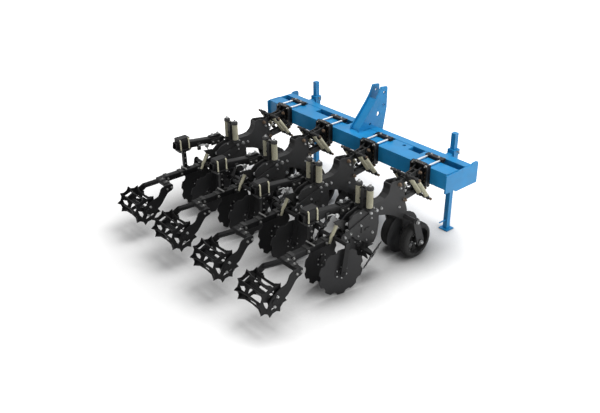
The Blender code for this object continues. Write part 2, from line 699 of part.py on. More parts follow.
def side_disc_carrier(arm_z):
    """Cross tube over the side discs, with an outer arm and axle stub for each."""
    tube_y = SIDE_DISC_Y + 0.04
    tube_z = arm_z + 0.050
    shapes = [rod((-SIDE_ARM_X, tube_y, tube_z), (SIDE_ARM_X, tube_y, tube_z), 0.028, 8)]
    for _, side in SIDES:
        centre = Vector((side * SIDE_DISC_X, SIDE_DISC_Y, SIDE_DISC_HEIGHT))
        face = centre + side_axis(side) * (SIDE_HUB_OUT + RUN_GAP)
        end = centre + side_axis(side) * ((SIDE_ARM_X + 0.010 - SIDE_DISC_X) / math.cos(SIDE_DISC_TOE))
        shapes.append(rod(face, end, 0.030, 8))
        near, far = side * (SIDE_ARM_X - 0.007), side * (SIDE_ARM_X + 0.005)
        arm = teardrop((tube_y, tube_z), 0.034, (end.y, SIDE_DISC_HEIGHT), 0.040, 2)
        shapes.append(prism(arm, min(near, far), max(near, far)))
    return shapes


def roller_fork(arm_z):
    """Cross tube with a curved right arm and a straight slanting left arm, each ending at the axle."""
    axle = Vector((-ROLLER_REACH, ROLLER_HEIGHT))
    half_plate = 0.006
    shapes = [box((ARM_X - 0.042, FORK_Y - 0.034, arm_z + 0.008), (FORK_X - 0.002, FORK_Y + 0.034, arm_z + 0.078))]
    # Curved arm: forward edge from the top down, round the axle, then the rear edge up; (y, z) from the axle
    forward = [(0.305, 0.205), (0.246, 0.190), (0.212, 0.100), (0.170, 0.025), (0.112, -0.012)]
    rearward = [(0.045, 0.128), (0.150, 0.130), (0.167, 0.195), (0.165, 0.285), (0.240, 0.305), (0.305, 0.285)]
    outline = [(axle.x + y, axle.y + z) for y, z in forward] + arc(axle, 0.062, -50, -230, 4)
    outline += [(axle.x + y, axle.y + z) for y, z in rearward]
    shapes.append(prism(outline, FORK_X - half_plate, FORK_X + half_plate))
    # Straight arm
    knee = axle + Vector((0.190, 0.100))
    shapes.append(bar((ARM_X - 0.01, FORK_Y, arm_z + 0.010), (-FORK_X - 0.004, *knee), 0.050, 0.055))
    shapes.append(prism(stadium(knee, axle, 0.040, 3), -FORK_X - half_plate, -FORK_X + half_plate))
    for _, side in SIDES:
        face = side * (ROLLER_HALF_WIDTH + 0.010)
        shapes.append(rod((face, *axle), (side * (FORK_X + 0.016), *axle), 0.034, 8))
    return shapes


def build_roller():
    """Cage roller: two toothed rings with windows, cross blades and a middle shaft, turning about X."""
    radius, width = ROLLER_RADIUS, ROLLER_HALF_WIDTH
    teeth = toothed_outline(radius, ROLLER_TEETH, ((0.0, 1.0), (0.27, 0.79), (0.73, 0.79)), ROLLER_PHASE)
    shapes = []
    for _, side in SIDES:
        x = side * (width - 0.004)
        windows = []
        for quarter in range(4):
            middle = ROLLER_PHASE + math.pi / 2 * quarter
            corners = ((-0.55, 0.62), (0.55, 0.62), (0.38, 0.34), (-0.38, 0.34))
            outline = [(radius * r * math.cos(middle + a), radius * r * math.sin(middle + a)) for a, r in corners]
            windows.append(prism(outline, x - 0.02, x + 0.02))
        shapes.append(cut(prism(teeth, x - 0.004, x + 0.004), windows, "roller_ring"))
    # Outline of a cross blade: share of the half width, share of the radius
    outline = ((0.965, 0.96), (0.60, 0.79), (0.0, 0.75), (-0.60, 0.79), (-0.965, 0.96), (-0.965, 0.66), (0.965, 0.66))
    for index in range(ROLLER_TEETH):
        blade = bmesh.new()
        ring = [blade.verts.new((x * width, scale * radius, -0.004)) for x, scale in outline]
        made = bmesh.ops.extrude_face_region(blade, geom=[blade.faces.new(ring)])
        top = [item for item in made["geom"] if isinstance(item, bmesh.types.BMVert)]
        bmesh.ops.translate(blade, verts=top, vec=(0, 0, 0.008))
        bmesh.ops.recalc_face_normals(blade, faces=blade.faces)
        turn = ROLLER_PHASE + 2 * math.pi * index / ROLLER_TEETH
        shapes.append(placed(blade, Matrix.Rotation(turn, 4, "X")))
    face = width + 0.010 - RUN_GAP
    shapes.append(rod((-face, 0, 0), (face, 0, 0), 0.028, 6))
    return fused(shapes, "roller")


def build_all():
    """Make every sub-part and place it."""
    clear_scene()
    blue = make_material("blue_paint", (0.055, 0.30, 0.66), 0.38, 0.0)
    black = make_material("black_paint", (0.018, 0.018, 0.020), 0.45, 0.0)
    disc_steel = make_material("disc_steel", (0.045, 0.045, 0.048), 0.42, 0.6)
    rubber = make_material("rubber", (0.016, 0.016, 0.017), 0.72, 0.0)
    link_paint = make_material("link_paint", (0.03, 0.03, 0.03), 0.45, 0.0)

    bar_frame = empty("toolbar_origin", (0, TOOLBAR_Y, 0))
    put("toolbar", finished(build_toolbar(), "toolbar", blue), bar_frame)
    put("headstock", finished(build_headstock(), "headstock", blue), bar_frame)
    leg = finished(build_leg(), "stand_leg", blue)
    for name, side in SIDES:
        put(f"stand_leg_{name}", leg, bar_frame, (side * HALF_ROWS, STAND_Y, 0))

    fixed = {
        "clamp": finished(build_clamp(), "clamp", black),
        "links": finished(build_links(), "links", link_paint),
        "frame": finished(build_frame(), "frame", black),
        "tine": finished(build_tine(), "tine", disc_steel),
        "rear_arm": finished(build_rear_arm(), "rear_arm", black),
    }
    opener = finished(build_opener_disc(), "opener_disc", disc_steel, True)
    roller = finished(build_roller(), "roller", black)
    wheels = {name: finished(build_gauge_wheel(side), f"gauge_wheel_{name}", rubber, True) for name, side in SIDES}
    stars = {name: finished(build_star_wheel(side), f"star_wheel_{name}", disc_steel) for name, side in SIDES}
    discs = {name: finished(build_side_disc(side), f"side_disc_{name}", disc_steel) for name, side in SIDES}

    for row in range(ROWS):
        unit = f"row_{row + 1}"
        carrier = empty(f"{unit}_origin", (row * ROW_PITCH - HALF_ROWS, TOOLBAR_Y, 0))
        for name, mesh in fixed.items():
            put(f"{unit}_{name}", mesh, carrier)
        put(f"{unit}_opener_disc", opener, carrier, (0, OPENER_Y, OPENER_HEIGHT))
        put(f"{unit}_roller", roller, carrier, (0, -ROLLER_REACH, ROLLER_HEIGHT))
        for name, side in SIDES:
            put(f"{unit}_gauge_wheel_{name}", wheels[name], carrier, (0, GAUGE_Y, GAUGE_RADIUS))
            put(f"{unit}_star_wheel_{name}", stars[name], carrier,
                (side * STAR_X, STAR_Y, STAR_HEIGHT), (0, side * STAR_LEAN, side * STAR_TOE))
            put(f"{unit}_side_disc_{name}", discs[name], carrier,
                (side * SIDE_DISC_X, SIDE_DISC_Y, SIDE_DISC_HEIGHT), (0, 0, -side * SIDE_DISC_TOE))


if __name__ == "__main__":
    build_all()
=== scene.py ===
import math

import bmesh
import bpy
from mathutils import Matrix, Vector


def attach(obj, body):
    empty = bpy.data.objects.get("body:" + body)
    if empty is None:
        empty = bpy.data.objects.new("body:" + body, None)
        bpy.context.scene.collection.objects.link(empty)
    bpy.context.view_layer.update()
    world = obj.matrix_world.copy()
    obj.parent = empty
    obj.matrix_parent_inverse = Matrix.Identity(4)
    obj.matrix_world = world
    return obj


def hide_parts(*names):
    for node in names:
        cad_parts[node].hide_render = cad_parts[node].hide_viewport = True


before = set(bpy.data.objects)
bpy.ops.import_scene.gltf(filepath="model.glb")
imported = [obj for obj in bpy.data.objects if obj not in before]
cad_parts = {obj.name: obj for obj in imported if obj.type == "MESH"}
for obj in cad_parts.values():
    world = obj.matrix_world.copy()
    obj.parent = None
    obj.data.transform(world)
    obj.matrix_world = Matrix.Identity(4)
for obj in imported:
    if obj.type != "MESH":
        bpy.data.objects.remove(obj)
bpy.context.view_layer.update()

bl_info = {
    "name": "Strip-till cultivator dressing",
    "version": (1, 0, 0),
    "blender": (4, 5, 0),
    "location": "View3D > Sidebar > Strip-till",
    "description": "Dresses a packed four-row strip-till cultivator with materials, springs and fasteners",
    "category": "Object",
}

# Paint and metal colours, as linear RGB
BLUE = (0.01, 0.215, 0.48)
PLATE_BLACK = (0.022, 0.022, 0.0225)
ARM_BLACK = (0.0065, 0.0065, 0.007)
CLAMP_BLACK = (0.008, 0.009, 0.011)
LINK_BLACK = (0.012, 0.012, 0.012)
DISC_GREY = (0.019, 0.019, 0.02)
RUBBER = (0.016, 0.016, 0.016)
CREAM = (0.52, 0.5, 0.37)
ZINC = (0.33, 0.335, 0.335)
BRIGHT = (0.78, 0.79, 0.8)
DULL_ZINC = (0.21, 0.21, 0.205)
BROWN_ZINC = (0.13, 0.09, 0.06)

# Height of the paint's grain, in metres
GRAIN_DEPTH = 0.00012

# Camera and floor
CAMERA_PLACE = Vector((5.602, -4.547, 4.235))
CAMERA_TURN = math.radians(50.17)
CAMERA_TILT = math.radians(28.54)
CAMERA_ROLL = -0.013067
CAMERA_LENS = 43.8
CAMERA_SENSOR = 36.0
FLOOR_HALF = 40.0
FLOOR_DROP = -0.0005

# Places taken from the solids: rows, and heights below the toolbar's top
ROWS = (1, 2, 3, 4)
ROW_PITCH = 0.75
TOOLBAR_Y = 0.854
TOOLBAR_TOP = 0.965
HALF_BODY = 0.0475
BEAM_X = -0.125

# Gauge wheels
GAUGE_RADIUS = 0.1995
GAUGE_INNER_X = 0.085
GAUGE_OUTER_X = 0.19
GAUGE_Y = -0.195
GAUGE_WINDOWS = 5

# Opener disc, star wheels, side discs and roller
OPENER_RADIUS = 0.239
OPENER_PLACE = (0.0, -0.24, 0.245)
STAR_RADIUS = 0.17
STAR_TEETH = 12
STAR_PLACE = (0.105, -0.8, 0.235)
STAR_TOE = math.radians(23)
STAR_LEAN = math.radians(24)
SIDE_DISC_RADIUS = 0.262
SIDE_DISC_NOTCHES = 10
SIDE_DISC_PLACE = (0.15, -1.28, SIDE_DISC_RADIUS * math.cos(math.pi * 0.5 / SIDE_DISC_NOTCHES))
SIDE_DISC_TOE = math.radians(10)
ROLLER_HALF_WIDTH = 0.178
ROLLER_PLACE = (0.0, -2.15, 0.342)

# Toolbar: stands, tie rods and rear face of the clamps, and bridge plates as (middle, width)
STAND_X = 1.125
STAND_Y = 0.507
TIE_ROD_X = 0.085
CLAMP_BACK = -0.0325
BRIDGES = ((-0.9, 0.24), (0.0, 0.4), (0.6175, 0.265), (0.97, 0.09))

# Link pivots as (y, height from the toolbar's top)
UPPER_FRONT, UPPER_REAR = (-0.09, -0.045), (-0.39, -0.085)
LOWER_FRONT, LOWER_REAR = (0.0, -0.25), (-0.3, -0.29)

# Rear beam with its U-bolts, lower arm and roller fork
BEAM_SLOPE = 0.133
U_BOLT_Y = (-1.506, -1.396)
ARM_X = -0.05
ARM_Z = TOOLBAR_TOP - 0.435
ARM_HALF = 0.035
FORK_X = ROLLER_HALF_WIDTH + 0.024
FORK_Y = ROLLER_PLACE[1] + 0.28

# Bolts on both body plates, then on the straps outside them: y, height from the toolbar's top, flats
PLATE_BOLTS = (
    (-0.366, -0.136, 0.019), (-0.303, -0.181, 0.022), (-0.305, -0.285, 0.021), (-0.372, -0.35, 0.019),
    (-0.716, -0.263, 0.032), (-0.644, -0.266, 0.024), (-0.86, -0.2, 0.016), (-0.936, -0.215, 0.015),
    (-0.868, -0.321, 0.015), (-0.959, -0.471, 0.014), (-0.76, -0.502, 0.022), (-0.84, -0.56, 0.013))
STRAP_BOLTS = (
    (-0.801, -0.262, 0.024), (-0.936, -0.353, 0.018), (-0.79, -0.32, 0.015), (-1.075, -0.395, 0.019),
    (-1.15, -0.41, 0.02))

# Springs
COIL_RADIUS = 0.03
LOAD_COIL_RADIUS = 0.019
WIRE_RADIUS = 0.0046
COIL_PITCH = 0.0125
LOAD_SPRING_X = (-0.12, 0.088, 0.19)
LOAD_SPRING_TOP = (-0.294, -0.01)
LOAD_SPRING_LOW = (-0.097, -0.283)
TOWER_Y = -0.84
TOWER_X = 0.077

SIDES = (("left", -1), ("right", 1))

# Finishes: colour, roughness and further settings of coated()
FINISHES = {
    "blue_coat": (BLUE, 0.42, {"coat": 0.08, "shine": 0.3}),
    "plate_coat": (PLATE_BLACK, 0.52, {}),
    "arm_coat": (ARM_BLACK, 0.42, {"shine": 0.16}),
    "clamp_coat": (CLAMP_BLACK, 0.45, {"shine": 0.2}),
    "link_coat": (LINK_BLACK, 0.46, {"shine": 0.3}),
    "disc_coat": (DISC_GREY, 0.5, {"metallic": 0.1}),
    "tyre_rubber": (RUBBER, 0.74, {"grain": 420.0}),
    "spring_coat": (CREAM, 0.45, {"coat": 0.1}),
    "zinc_plate": (ZINC, 0.36, {"metallic": 0.8, "shine": 0.5}),
    "bright_plate": (BRIGHT, 0.3, {"metallic": 0.7, "shine": 0.5}),
    "dull_plate": (DULL_ZINC, 0.4, {"metallic": 0.7, "shine": 0.5}),
    "brown_plate": (BROWN_ZINC, 0.38, {"metallic": 0.6, "shine": 0.5}),
}


class Socket:
    """One output of a shader node that can be added and scaled like a number."""

    def __init__(self, graph, output):
        self.graph = graph
        self.output = output

    def _math(self, operation, first, second):
        node = self.graph.add("ShaderNodeMath", {0: first, 1: second}, operation=operation)
        return node.out(0)

    def __add__(self, other):
        return self._math("ADD", self, other)

    def __mul__(self, other):
        return self._math("MULTIPLY", self, other)


class Node:
    """A shader node whose outputs are taken by name or place."""

    def __init__(self, graph, node):
        self.graph = graph
        self.node = node

    def out(self, key=0):
        return Socket(self.graph, self.node.outputs[key])


class Graph:
    """The node tree of one new material or of the world."""

    def __init__(self, tree):
        self.tree = tree
        self.tree.nodes.clear()

    def add(self, kind, inputs=None, **settings):
        node = self.tree.nodes.new(kind)
        for name, value in settings.items():
            setattr(node, name, value)
        for key, value in (inputs or {}).items():
            if isinstance(value, Socket):
                self.tree.links.new(value.output, node.inputs[key])
            else:
                node.inputs[key].default_value = value
        return Node(self, node)

    def ramp(self, factor, stops):
        """A colour ramp through (place, colour) stops."""
        ramp = self.add("ShaderNodeValToRGB", {"Fac": factor})
        elements = ramp.node.color_ramp.elements
        elements[0].position, elements[-1].position = stops[0][0], stops[-1][0]
        elements[0].color, elements[-1].color = (*stops[0][1], 1.0), (*stops[-1][1], 1.0)
        for place, colour in stops[1:-1]:
            elements.new(place).color = (*colour, 1.0)
        return ramp.out("Color")


def shade(colour, factor):
    """The colour made darker or lighter."""
    return tuple(min(1.0, channel * factor) for channel in colour)


def new_material(name):
    material = bpy.data.materials.new(name)
    material.use_nodes = True
    return material, Graph(material.node_tree)


def coated(name, colour, roughness, metallic=0.0, coat=0.0, shine=0.25, grain=900.0):
    """Painted or blank metal with soft mottling, dulled patches and a fine surface grain."""
    material, graph = new_material(name)
    place = graph.add("ShaderNodeTexCoord").out("Object")
    broad = graph.add("ShaderNodeTexNoise", {"Vector": place, "Scale": 5.0, "Detail": 5.0}).out("Fac")
    fine = graph.add("ShaderNodeTexNoise", {"Vector": place, "Scale": grain, "Detail": 2.0}).out("Fac")
    tint = graph.ramp(broad, ((0.3, shade(colour, 0.88)), (0.52, colour), (0.75, shade(colour, 1.12))))
    rounded = graph.add("ShaderNodeBevel", {"Radius": 0.002}, samples=4).out("Normal")
    bump = graph.add(
        "ShaderNodeBump", {"Strength": 0.35, "Distance": GRAIN_DEPTH, "Height": fine, "Normal": rounded}
    ).out("Normal")
    shader = graph.add(
        "ShaderNodeBsdfPrincipled",
        {
            "Base Color": tint,
            "Roughness": broad * 0.16 + (roughness - 0.08),
            "Metallic": metallic,
            "Specular IOR Level": shine,
            "Coat Weight": coat,
            "Coat Roughness": 0.22,
            "Normal": bump,
        },
    )
    graph.add("ShaderNodeOutputMaterial", {"Surface": shader.out("BSDF")})
    return material


# Shapes, each added as closed bodies to a mesh under construction

def row_origin(row):
    """Point on the ground below the toolbar's rear face at the row's middle."""
    return Vector(((row - 2.5) * ROW_PITCH, TOOLBAR_Y, 0.0))


def points(row):
    """Two functions for the points of a row unit: height from the toolbar's top, and from the ground."""
    origin = row_origin(row)

    def at(x, y, drop):
        return origin + Vector((x, y, TOOLBAR_TOP + drop))

    def over(x, y, height):
        return origin + Vector((x, y, height))

    return at, over


def meshes(count):
    return [bmesh.new() for _ in range(count)]


def across(axis):
    """Two unit vectors square to the axis and to each other."""
    axis = Vector(axis).normalized()
    helper = Vector((0, 0, 1)) if abs(axis.z) < 0.9 else Vector((1, 0, 0))
    first = axis.cross(helper).normalized()
    return first, axis.cross(first)


def loft(target, rings, closed=False):
    """Skin over rings of points, capped at both ends unless the rings close on themselves."""
    made = [[target.verts.new(point) for point in ring] for ring in rings]
    count = len(made[0])
    pairs = list(zip(made, made[1:]))
    if closed:
        pairs.append((made[-1], made[0]))
    for here, there in pairs:
        for index in range(count):
            after = (index + 1) % count
            target.faces.new((here[index], here[after], there[after], there[index]))
    if not closed:
        target.faces.new(list(reversed(made[0])))
        target.faces.new(made[-1])


def circle(centre, axis, radius, segments):
    """Ring of points round a centre."""
    first, second = across(axis)
    points = []
    for step in range(segments):
        angle = 2 * math.pi * step / segments
        points.append(Vector(centre) + (first * math.cos(angle) + second * math.sin(angle)) * radius)
    return points


def turned(target, start, axis, profile, segments=24):
    """Body of revolution from (distance along the axis, radius) points, closed at both ends."""
    axis = Vector(axis).normalized()
    loft(target, [circle(Vector(start) + axis * along, axis, radius, segments) for along, radius in profile])


def rod(target, start, end, radius, segments=14):
    """Round bar with broken edges."""
    start, end, chamfer = Vector(start), Vector(end), 0.0015
    length = (end - start).length
    profile = ((0, radius - chamfer), (chamfer, radius), (length - chamfer, radius), (length, radius - chamfer))
    turned(target, start, end - start, profile, segments)


def tube_path(target, points, radius, segments=8, closed=False):
    """Round wire along a path."""
    points = [Vector(point) for point in points]
    rings = []
    count = len(points)
    normal = None
    for index, point in enumerate(points):
        before = points[index - 1] if index or closed else point
        after = points[(index + 1) % count] if index < count - 1 or closed else point
        along = (after - before).normalized()
        if normal is None:
            normal = across(along)[0]
        normal = (normal - along * normal.dot(along)).normalized()
        side = along.cross(normal)
        rings.append([
            point + (normal * math.cos(a) + side * math.sin(a)) * radius
            for a in (2 * math.pi * step / segments for step in range(segments))])
    loft(target, rings, closed)


def coil(target, start, end, radius, wire, pitch):
    """Helical spring between two points."""
    start, end = Vector(start), Vector(end)
    axis = end - start
    first, second = across(axis)
    turns = max(2, round(axis.length / pitch))
    steps = turns * 14
    points = []
    for step in range(steps + 1):
        angle = 2 * math.pi * turns * step / steps
        ray = first * math.cos(angle) + second * math.sin(angle)
        points.append(start + axis * (step / steps) + ray * radius)
    tube_path(target, points, wire, 6)


def slab(target, outline, frame_matrix, thickness, bevel=0.0012):
    """Plate with broken edges: a flat outline of (x, y) points given a thickness along local z."""
    middle = sum((Vector((*point, 0)) for point in outline), Vector()) / len(outline)

    def ring(height, inset):
        points = []
        for point in outline:
            flat = Vector((*point, 0))
            inward = middle - flat
            shift = inward.normalized() * min(inset, inward.length * 0.2)
            points.append(frame_matrix @ (flat + shift + Vector((0, 0, height))))
        return points

    half = thickness / 2
    loft(target, [
        ring(-half, bevel), ring(-half + bevel, 0), ring(half - bevel, 0), ring(half, bevel)])


def block(target, low, high, bevel=0.002):
    """Box with broken edges."""
    low, high = Vector(low), Vector(high)
    middle, size = (low + high) / 2, high - low
    x, y = size.x / 2, size.y / 2
    outline = [(-x, -y), (x, -y), (x, y), (-x, y)]
    slab(target, outline, Matrix.Translation(middle), size.z, bevel)


def blocks(target, place, entries):
    """Boxes between (low, high) corners of a place function, each with its bevel."""
    for low, high, bevel in entries:
        block(target, place(*low), place(*high), bevel)


def side_plate(target, outline, x, thickness, bevel=0.0012):
    """Plate in a plane square to X: outline of (y, z) points."""
    turn = Matrix(((0, 0, 1, x), (1, 0, 0, 0), (0, 1, 0, 0), (0, 0, 0, 1)))
    slab(target, outline, turn, thickness, bevel)


def square_tube(target, start, end, width, height, corner=0.008, wall=0.006):
    """Rectangular tube with rounded corners between two points, open at its far end."""
    start, end = Vector(start), Vector(end)
    along = (end - start).normalized()
    side = Vector((1, 0, 0)) if abs(along.x) < 0.9 else Vector((0, 1, 0))
    upward = side.cross(along).normalized()
    side = along.cross(upward).normalized()

    def ring(place, pull):
        points = []
        for across_sign, up_sign, first in ((1, 1, 0), (-1, 1, 90), (-1, -1, 180), (1, -1, 270)):
            radius = max(0.001, corner - pull)
            for step in range(4):
                angle = math.radians(first + 30 * step)
                x = across_sign * (width / 2 - corner) + radius * math.cos(angle)
                z = up_sign * (height / 2 - corner) + radius * math.sin(angle)
                points.append(place + side * x + upward * z)
        return points

    depth = along * min(0.06, (end - start).length / 3)
    loft(target, [
        ring(start, 0.002), ring(start + along * 0.002, 0), ring(end - along * 0.001, 0), ring(end, 0.001),
        ring(end, wall), ring(end - depth, wall)])


def smoothed(outline, rounds=2):
    """Outline with its corners cut back again and again, which turns them into curves."""
    for _ in range(rounds):
        points = []
        for index, here in enumerate(outline):
            there = outline[(index + 1) % len(outline)]
            points.append((here[0] * 0.75 + there[0] * 0.25, here[1] * 0.75 + there[1] * 0.25))
            points.append((here[0] * 0.25 + there[0] * 0.75, here[1] * 0.25 + there[1] * 0.75))
        outline = points
    return outline


def arc(centre, radius, start_deg, end_deg, steps):
    """Points of an arc in the (y, z) plane."""
    points = []
    for step in range(steps + 1):
        angle = math.radians(start_deg + (end_deg - start_deg) * step / steps)
        points.append((centre[0] + radius * math.cos(angle), centre[1] + radius * math.sin(angle)))
    return points


def teardrop(start, start_radius, end, end_radius, steps=10):
    """Outline of a plate that widens between two round (y, z) ends."""
    run, rise = end[0] - start[0], end[1] - start[1]
    slope = math.degrees(math.atan2(rise, run))
    spread = math.degrees(math.acos((start_radius - end_radius) / math.hypot(run, rise)))
    return (arc(end, end_radius, slope - spread, slope + spread, steps)
            + arc(start, start_radius, slope + spread, slope + 360 - spread, steps))


def row_plate(target, row, outline, x, thickness):
    """Side plate of a row unit: outline of (y, z) points behind the toolbar."""
    origin = row_origin(row)
    side_plate(target, [(origin.y + y, z) for y, z in outline], origin.x + x, thickness)


def hex_bolt(target, place, axis, flats, washer=True, tip=0.0):
    """Hexagon head on a washer, standing on a surface; a threaded tip may stand out of it."""
    place, axis = Vector(place), Vector(axis).normalized()
    height = 0.62 * flats
    base = place
    if washer:
        turned(target, base, axis, ((0, 0.64 * flats), (0.0022, 0.66 * flats), (0.0028, 0.62 * flats)), 20)
        base = place + axis * 0.0026
    corner = flats / math.sqrt(3)
    heights = ((0.0, 1.0), (0.78, 1.0), (1.0, 0.88))
    loft(target, [circle(base + axis * height * along, axis, corner * scale, 6) for along, scale in heights])
    if tip > 0:
        radius = 0.3 * flats
        profile = [(0.0, radius)]
        steps = max(3, int(tip / 0.0025))
        for step in range(steps):
            along = tip * (step + 0.5) / steps
            profile += [(along, radius * (0.9 if step % 2 else 1.0))]
        profile += [(tip, radius * 0.7)]
        turned(target, base + axis * height, axis, profile, 12)


def u_bolt(target, centre, axis, up, width, leg, radius):
    """U-shaped rod over a tube: the bow lies across the axis, both legs point against up."""
    centre, axis, up = Vector(centre), Vector(axis).normalized(), Vector(up).normalized()
    side, bend, half = axis.cross(up).normalized(), 0.018, width / 2
    limbs = []
    for way in (-side, side):
        limb = [centre + way * half - up * leg]
        for step in range(7):
            angle = math.pi / 2 * step / 6
            limb.append(centre + way * (half - bend + bend * math.cos(angle)) - up * (bend - bend * math.sin(angle)))
        limbs.append(limb)
    path = limbs[0] + list(reversed(limbs[1]))
    tube_path(target, path, radius, 10)


def toothed(radius, teeth, steps, phase=math.pi / 2):
    """Rim as (y, z) points; steps are (share of a pitch, share of the radius) in each tooth."""
    pitch = 2 * math.pi / teeth
    points = []
    for index in range(teeth):
        for share, scale in steps:
            angle = phase + pitch * (index + share)
            points.append((radius * scale * math.cos(angle), radius * scale * math.sin(angle)))
    return points


def cut_plate(target, outline, holes, x, thickness):
    """Plate across X with (y, z) outline and round holes, each (y, z, radius)."""
    plate = bmesh.new()
    loops = [outline] + [arc((y, z), radius, 0, 345, 23) for y, z, radius in holes]
    edges = []
    for loop in loops:
        corners = [plate.verts.new((x - thickness / 2, y, z)) for y, z in loop]
        edges += [plate.edges.new((corners[index - 1], corners[index])) for index in range(len(corners))]
    bmesh.ops.triangle_fill(plate, use_beauty=True, edges=edges)
    grown = bmesh.ops.extrude_face_region(plate, geom=plate.faces[:], use_keep_orig=True)["geom"]
    far = [item for item in grown if isinstance(item, bmesh.types.BMVert)]
    bmesh.ops.translate(plate, vec=(thickness, 0, 0), verts=far)
    bmesh.ops.recalc_face_normals(plate, faces=plate.faces[:])
    mesh = bpy.data.meshes.new("plate")
    plate.to_mesh(mesh)
    plate.free()
    target.from_mesh(mesh)
    bpy.data.meshes.remove(mesh)


def bar_point(x, y, rise):
    """World point from the toolbar's rear top edge at the machine's middle."""
    return Vector((x, TOOLBAR_Y + y, TOOLBAR_TOP + rise))


def ring_points(place, x, y, z, radius, count):
    """Points of a circle across X, each found by a place function."""
    turns = [2 * math.pi * step / count for step in range(count)]
    return [place(x, y + radius * math.cos(turn), z + radius * math.sin(turn)) for turn in turns]


def weld(target, start, end, radius=0.0045):
    """Rounded weld bead between two (x, y, rise) points of the toolbar."""
    tube_path(target, [bar_point(*start), bar_point(*end)], radius, 6)


def finish(name):
    """Material of that name, made the first time that it is asked for."""
    if name in bpy.data.materials:
        return bpy.data.materials[name]
    colour, roughness, settings = FINISHES[name]
    return coated(name, colour, roughness, **settings)


def new_object(name, data):
    item = bpy.data.objects.new(name, data)
    bpy.context.scene.collection.objects.link(item)
    return item


def piece(name, target, coat, smooth=40.0, body="machine", matrix=None):
    """Makes one object of the finished mesh and lets it ride on a body."""
    if matrix is not None:
        bmesh.ops.transform(target, matrix=matrix, verts=target.verts)
    bmesh.ops.recalc_face_normals(target, faces=target.faces)
    mesh = bpy.data.meshes.new(name)
    target.to_mesh(mesh)
    target.free()
    if not mesh.polygons:
        raise RuntimeError(f"piece {name} has no faces")
    mesh.materials.append(finish(coat))
    mesh.shade_smooth()
    mesh.set_sharp_from_angle(angle=math.radians(smooth))
    item = new_object(name, mesh)
    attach(item, body)
    return item


def build_springs(row):
    """Coils of the load springs and the tower springs, with their cups and threaded ends."""
    at, _ = points(row)
    wire, cups, tips = meshes(3)
    for x in LOAD_SPRING_X:
        top, low = at(x, *LOAD_SPRING_TOP), at(x, *LOAD_SPRING_LOW)
        along = (low - top).normalized()
        coil(wire, top + along * 0.04, low - along * 0.04, LOAD_COIL_RADIUS, WIRE_RADIUS, COIL_PITCH)
        for end, way in ((top, along), (low, -along)):
            profile = ((-0.012, 0.016), (-0.008, 0.019), (0.026, 0.023), (0.036, 0.0245), (0.04, 0.022))
            turned(cups, end, way, profile, 20)
    up = Vector((0, 0, 1))
    for side in (-1, 1):
        base = at(side * TOWER_X, TOWER_Y, -0.19)
        turned(cups, base, up, ((0, 0.037), (0.008, 0.037), (0.01, 0.034)), 24)
        coil(wire, base + up * 0.012, base + up * 0.208, COIL_RADIUS, WIRE_RADIUS, COIL_PITCH)
        cap = ((0.206, 0.034), (0.209, 0.037), (0.232, 0.037), (0.241, 0.031), (0.244, 0.018))
        turned(cups, base, up, cap, 24)
        hex_bolt(tips, base + up * 0.2435, up, 0.022, tip=0.006)
    piece(f"row_{row}_spring_coils", wire, "spring_coat", 60)
    piece(f"row_{row}_spring_cups", cups, "link_coat")
    piece(f"row_{row}_spring_tips", tips, "zinc_plate")


def build_fasteners(row):
    """Bolts on the plates, tie rods of the toolbar clamps and U-bolts of the rear beam."""
    at, over = points(row)
    metal, rods, bows, dark, tabs = meshes(5)
    for side in (-1, 1):
        for x, group in ((HALF_BODY, PLATE_BOLTS), (HALF_BODY + 0.0123, STRAP_BOLTS)):
            for y, drop, flats in group:
                hex_bolt(metal, at(side * x, y, drop), (side, 0, 0), flats)
        x = side * TIE_ROD_X
        rod(rods, at(x, -0.05, 0.016), at(x, 0.25, 0.016), 0.0112, 12)
        for drop in (0.016, -0.196):
            hex_bolt(dark, at(x, CLAMP_BACK, drop), (0, -1, 0), 0.026, tip=0.016)
            hex_bolt(dark, at(x, 0.2365, drop), (0, 1, 0), 0.026, tip=0.012)
        hex_bolt(metal, at(side * 0.226, -0.276, -0.495), (side, 0, 0), 0.03)
        hex_bolt(metal, over(side * 0.2245, GAUGE_Y, 0.2), (side, 0, 0), 0.034)
        hex_bolt(metal, over(side * 0.045, *OPENER_PLACE[1:]), (side, 0, 0), 0.03)
    for y in U_BOLT_Y:
        u_bolt(bows, at(BEAM_X, y, -0.0485), (0, 1, 0), (0, 0, 1), 0.116, 0.148, 0.008)
        for side in (-1, 1):
            hex_bolt(dark, at(BEAM_X + side * 0.058, y, -0.182), (0, 0, -1), 0.022)
    for y in (-1.037, -0.96):
        hex_bolt(metal, at(BEAM_X, y, -0.126), (0, 0, 1), 0.03)
    for y, drop in ((-2.118, -0.577), (-2.155, -0.669)):
        hex_bolt(metal, at(0.2078, y, drop), (1, 0, 0), 0.022)
    # Small plates on the tine holder: y, height from the toolbar's top, length, height
    for side in (-1, 1):
        for y, drop, long, high in (
                (-0.906, -0.416, 0.026, 0.07), (-0.835, -0.43, 0.06, 0.024), (-0.985, -0.35, 0.024, 0.05)):
            low = at(side * (HALF_BODY + 0.004) - 0.0035, y - long / 2, drop - high / 2)
            block(tabs, low, low + Vector((0.007, long, high)), 0.001)
    piece(f"row_{row}_holder_tabs", tabs, "link_coat", 30)
    piece(f"row_{row}_fasteners", metal, "zinc_plate", 30)
    piece(f"row_{row}_tie_rods", rods, "bright_plate", 30)
    piece(f"row_{row}_u_bolts", bows, "spring_coat", 30)
    piece(f"row_{row}_dark_nuts", dark, "dull_plate", 30)


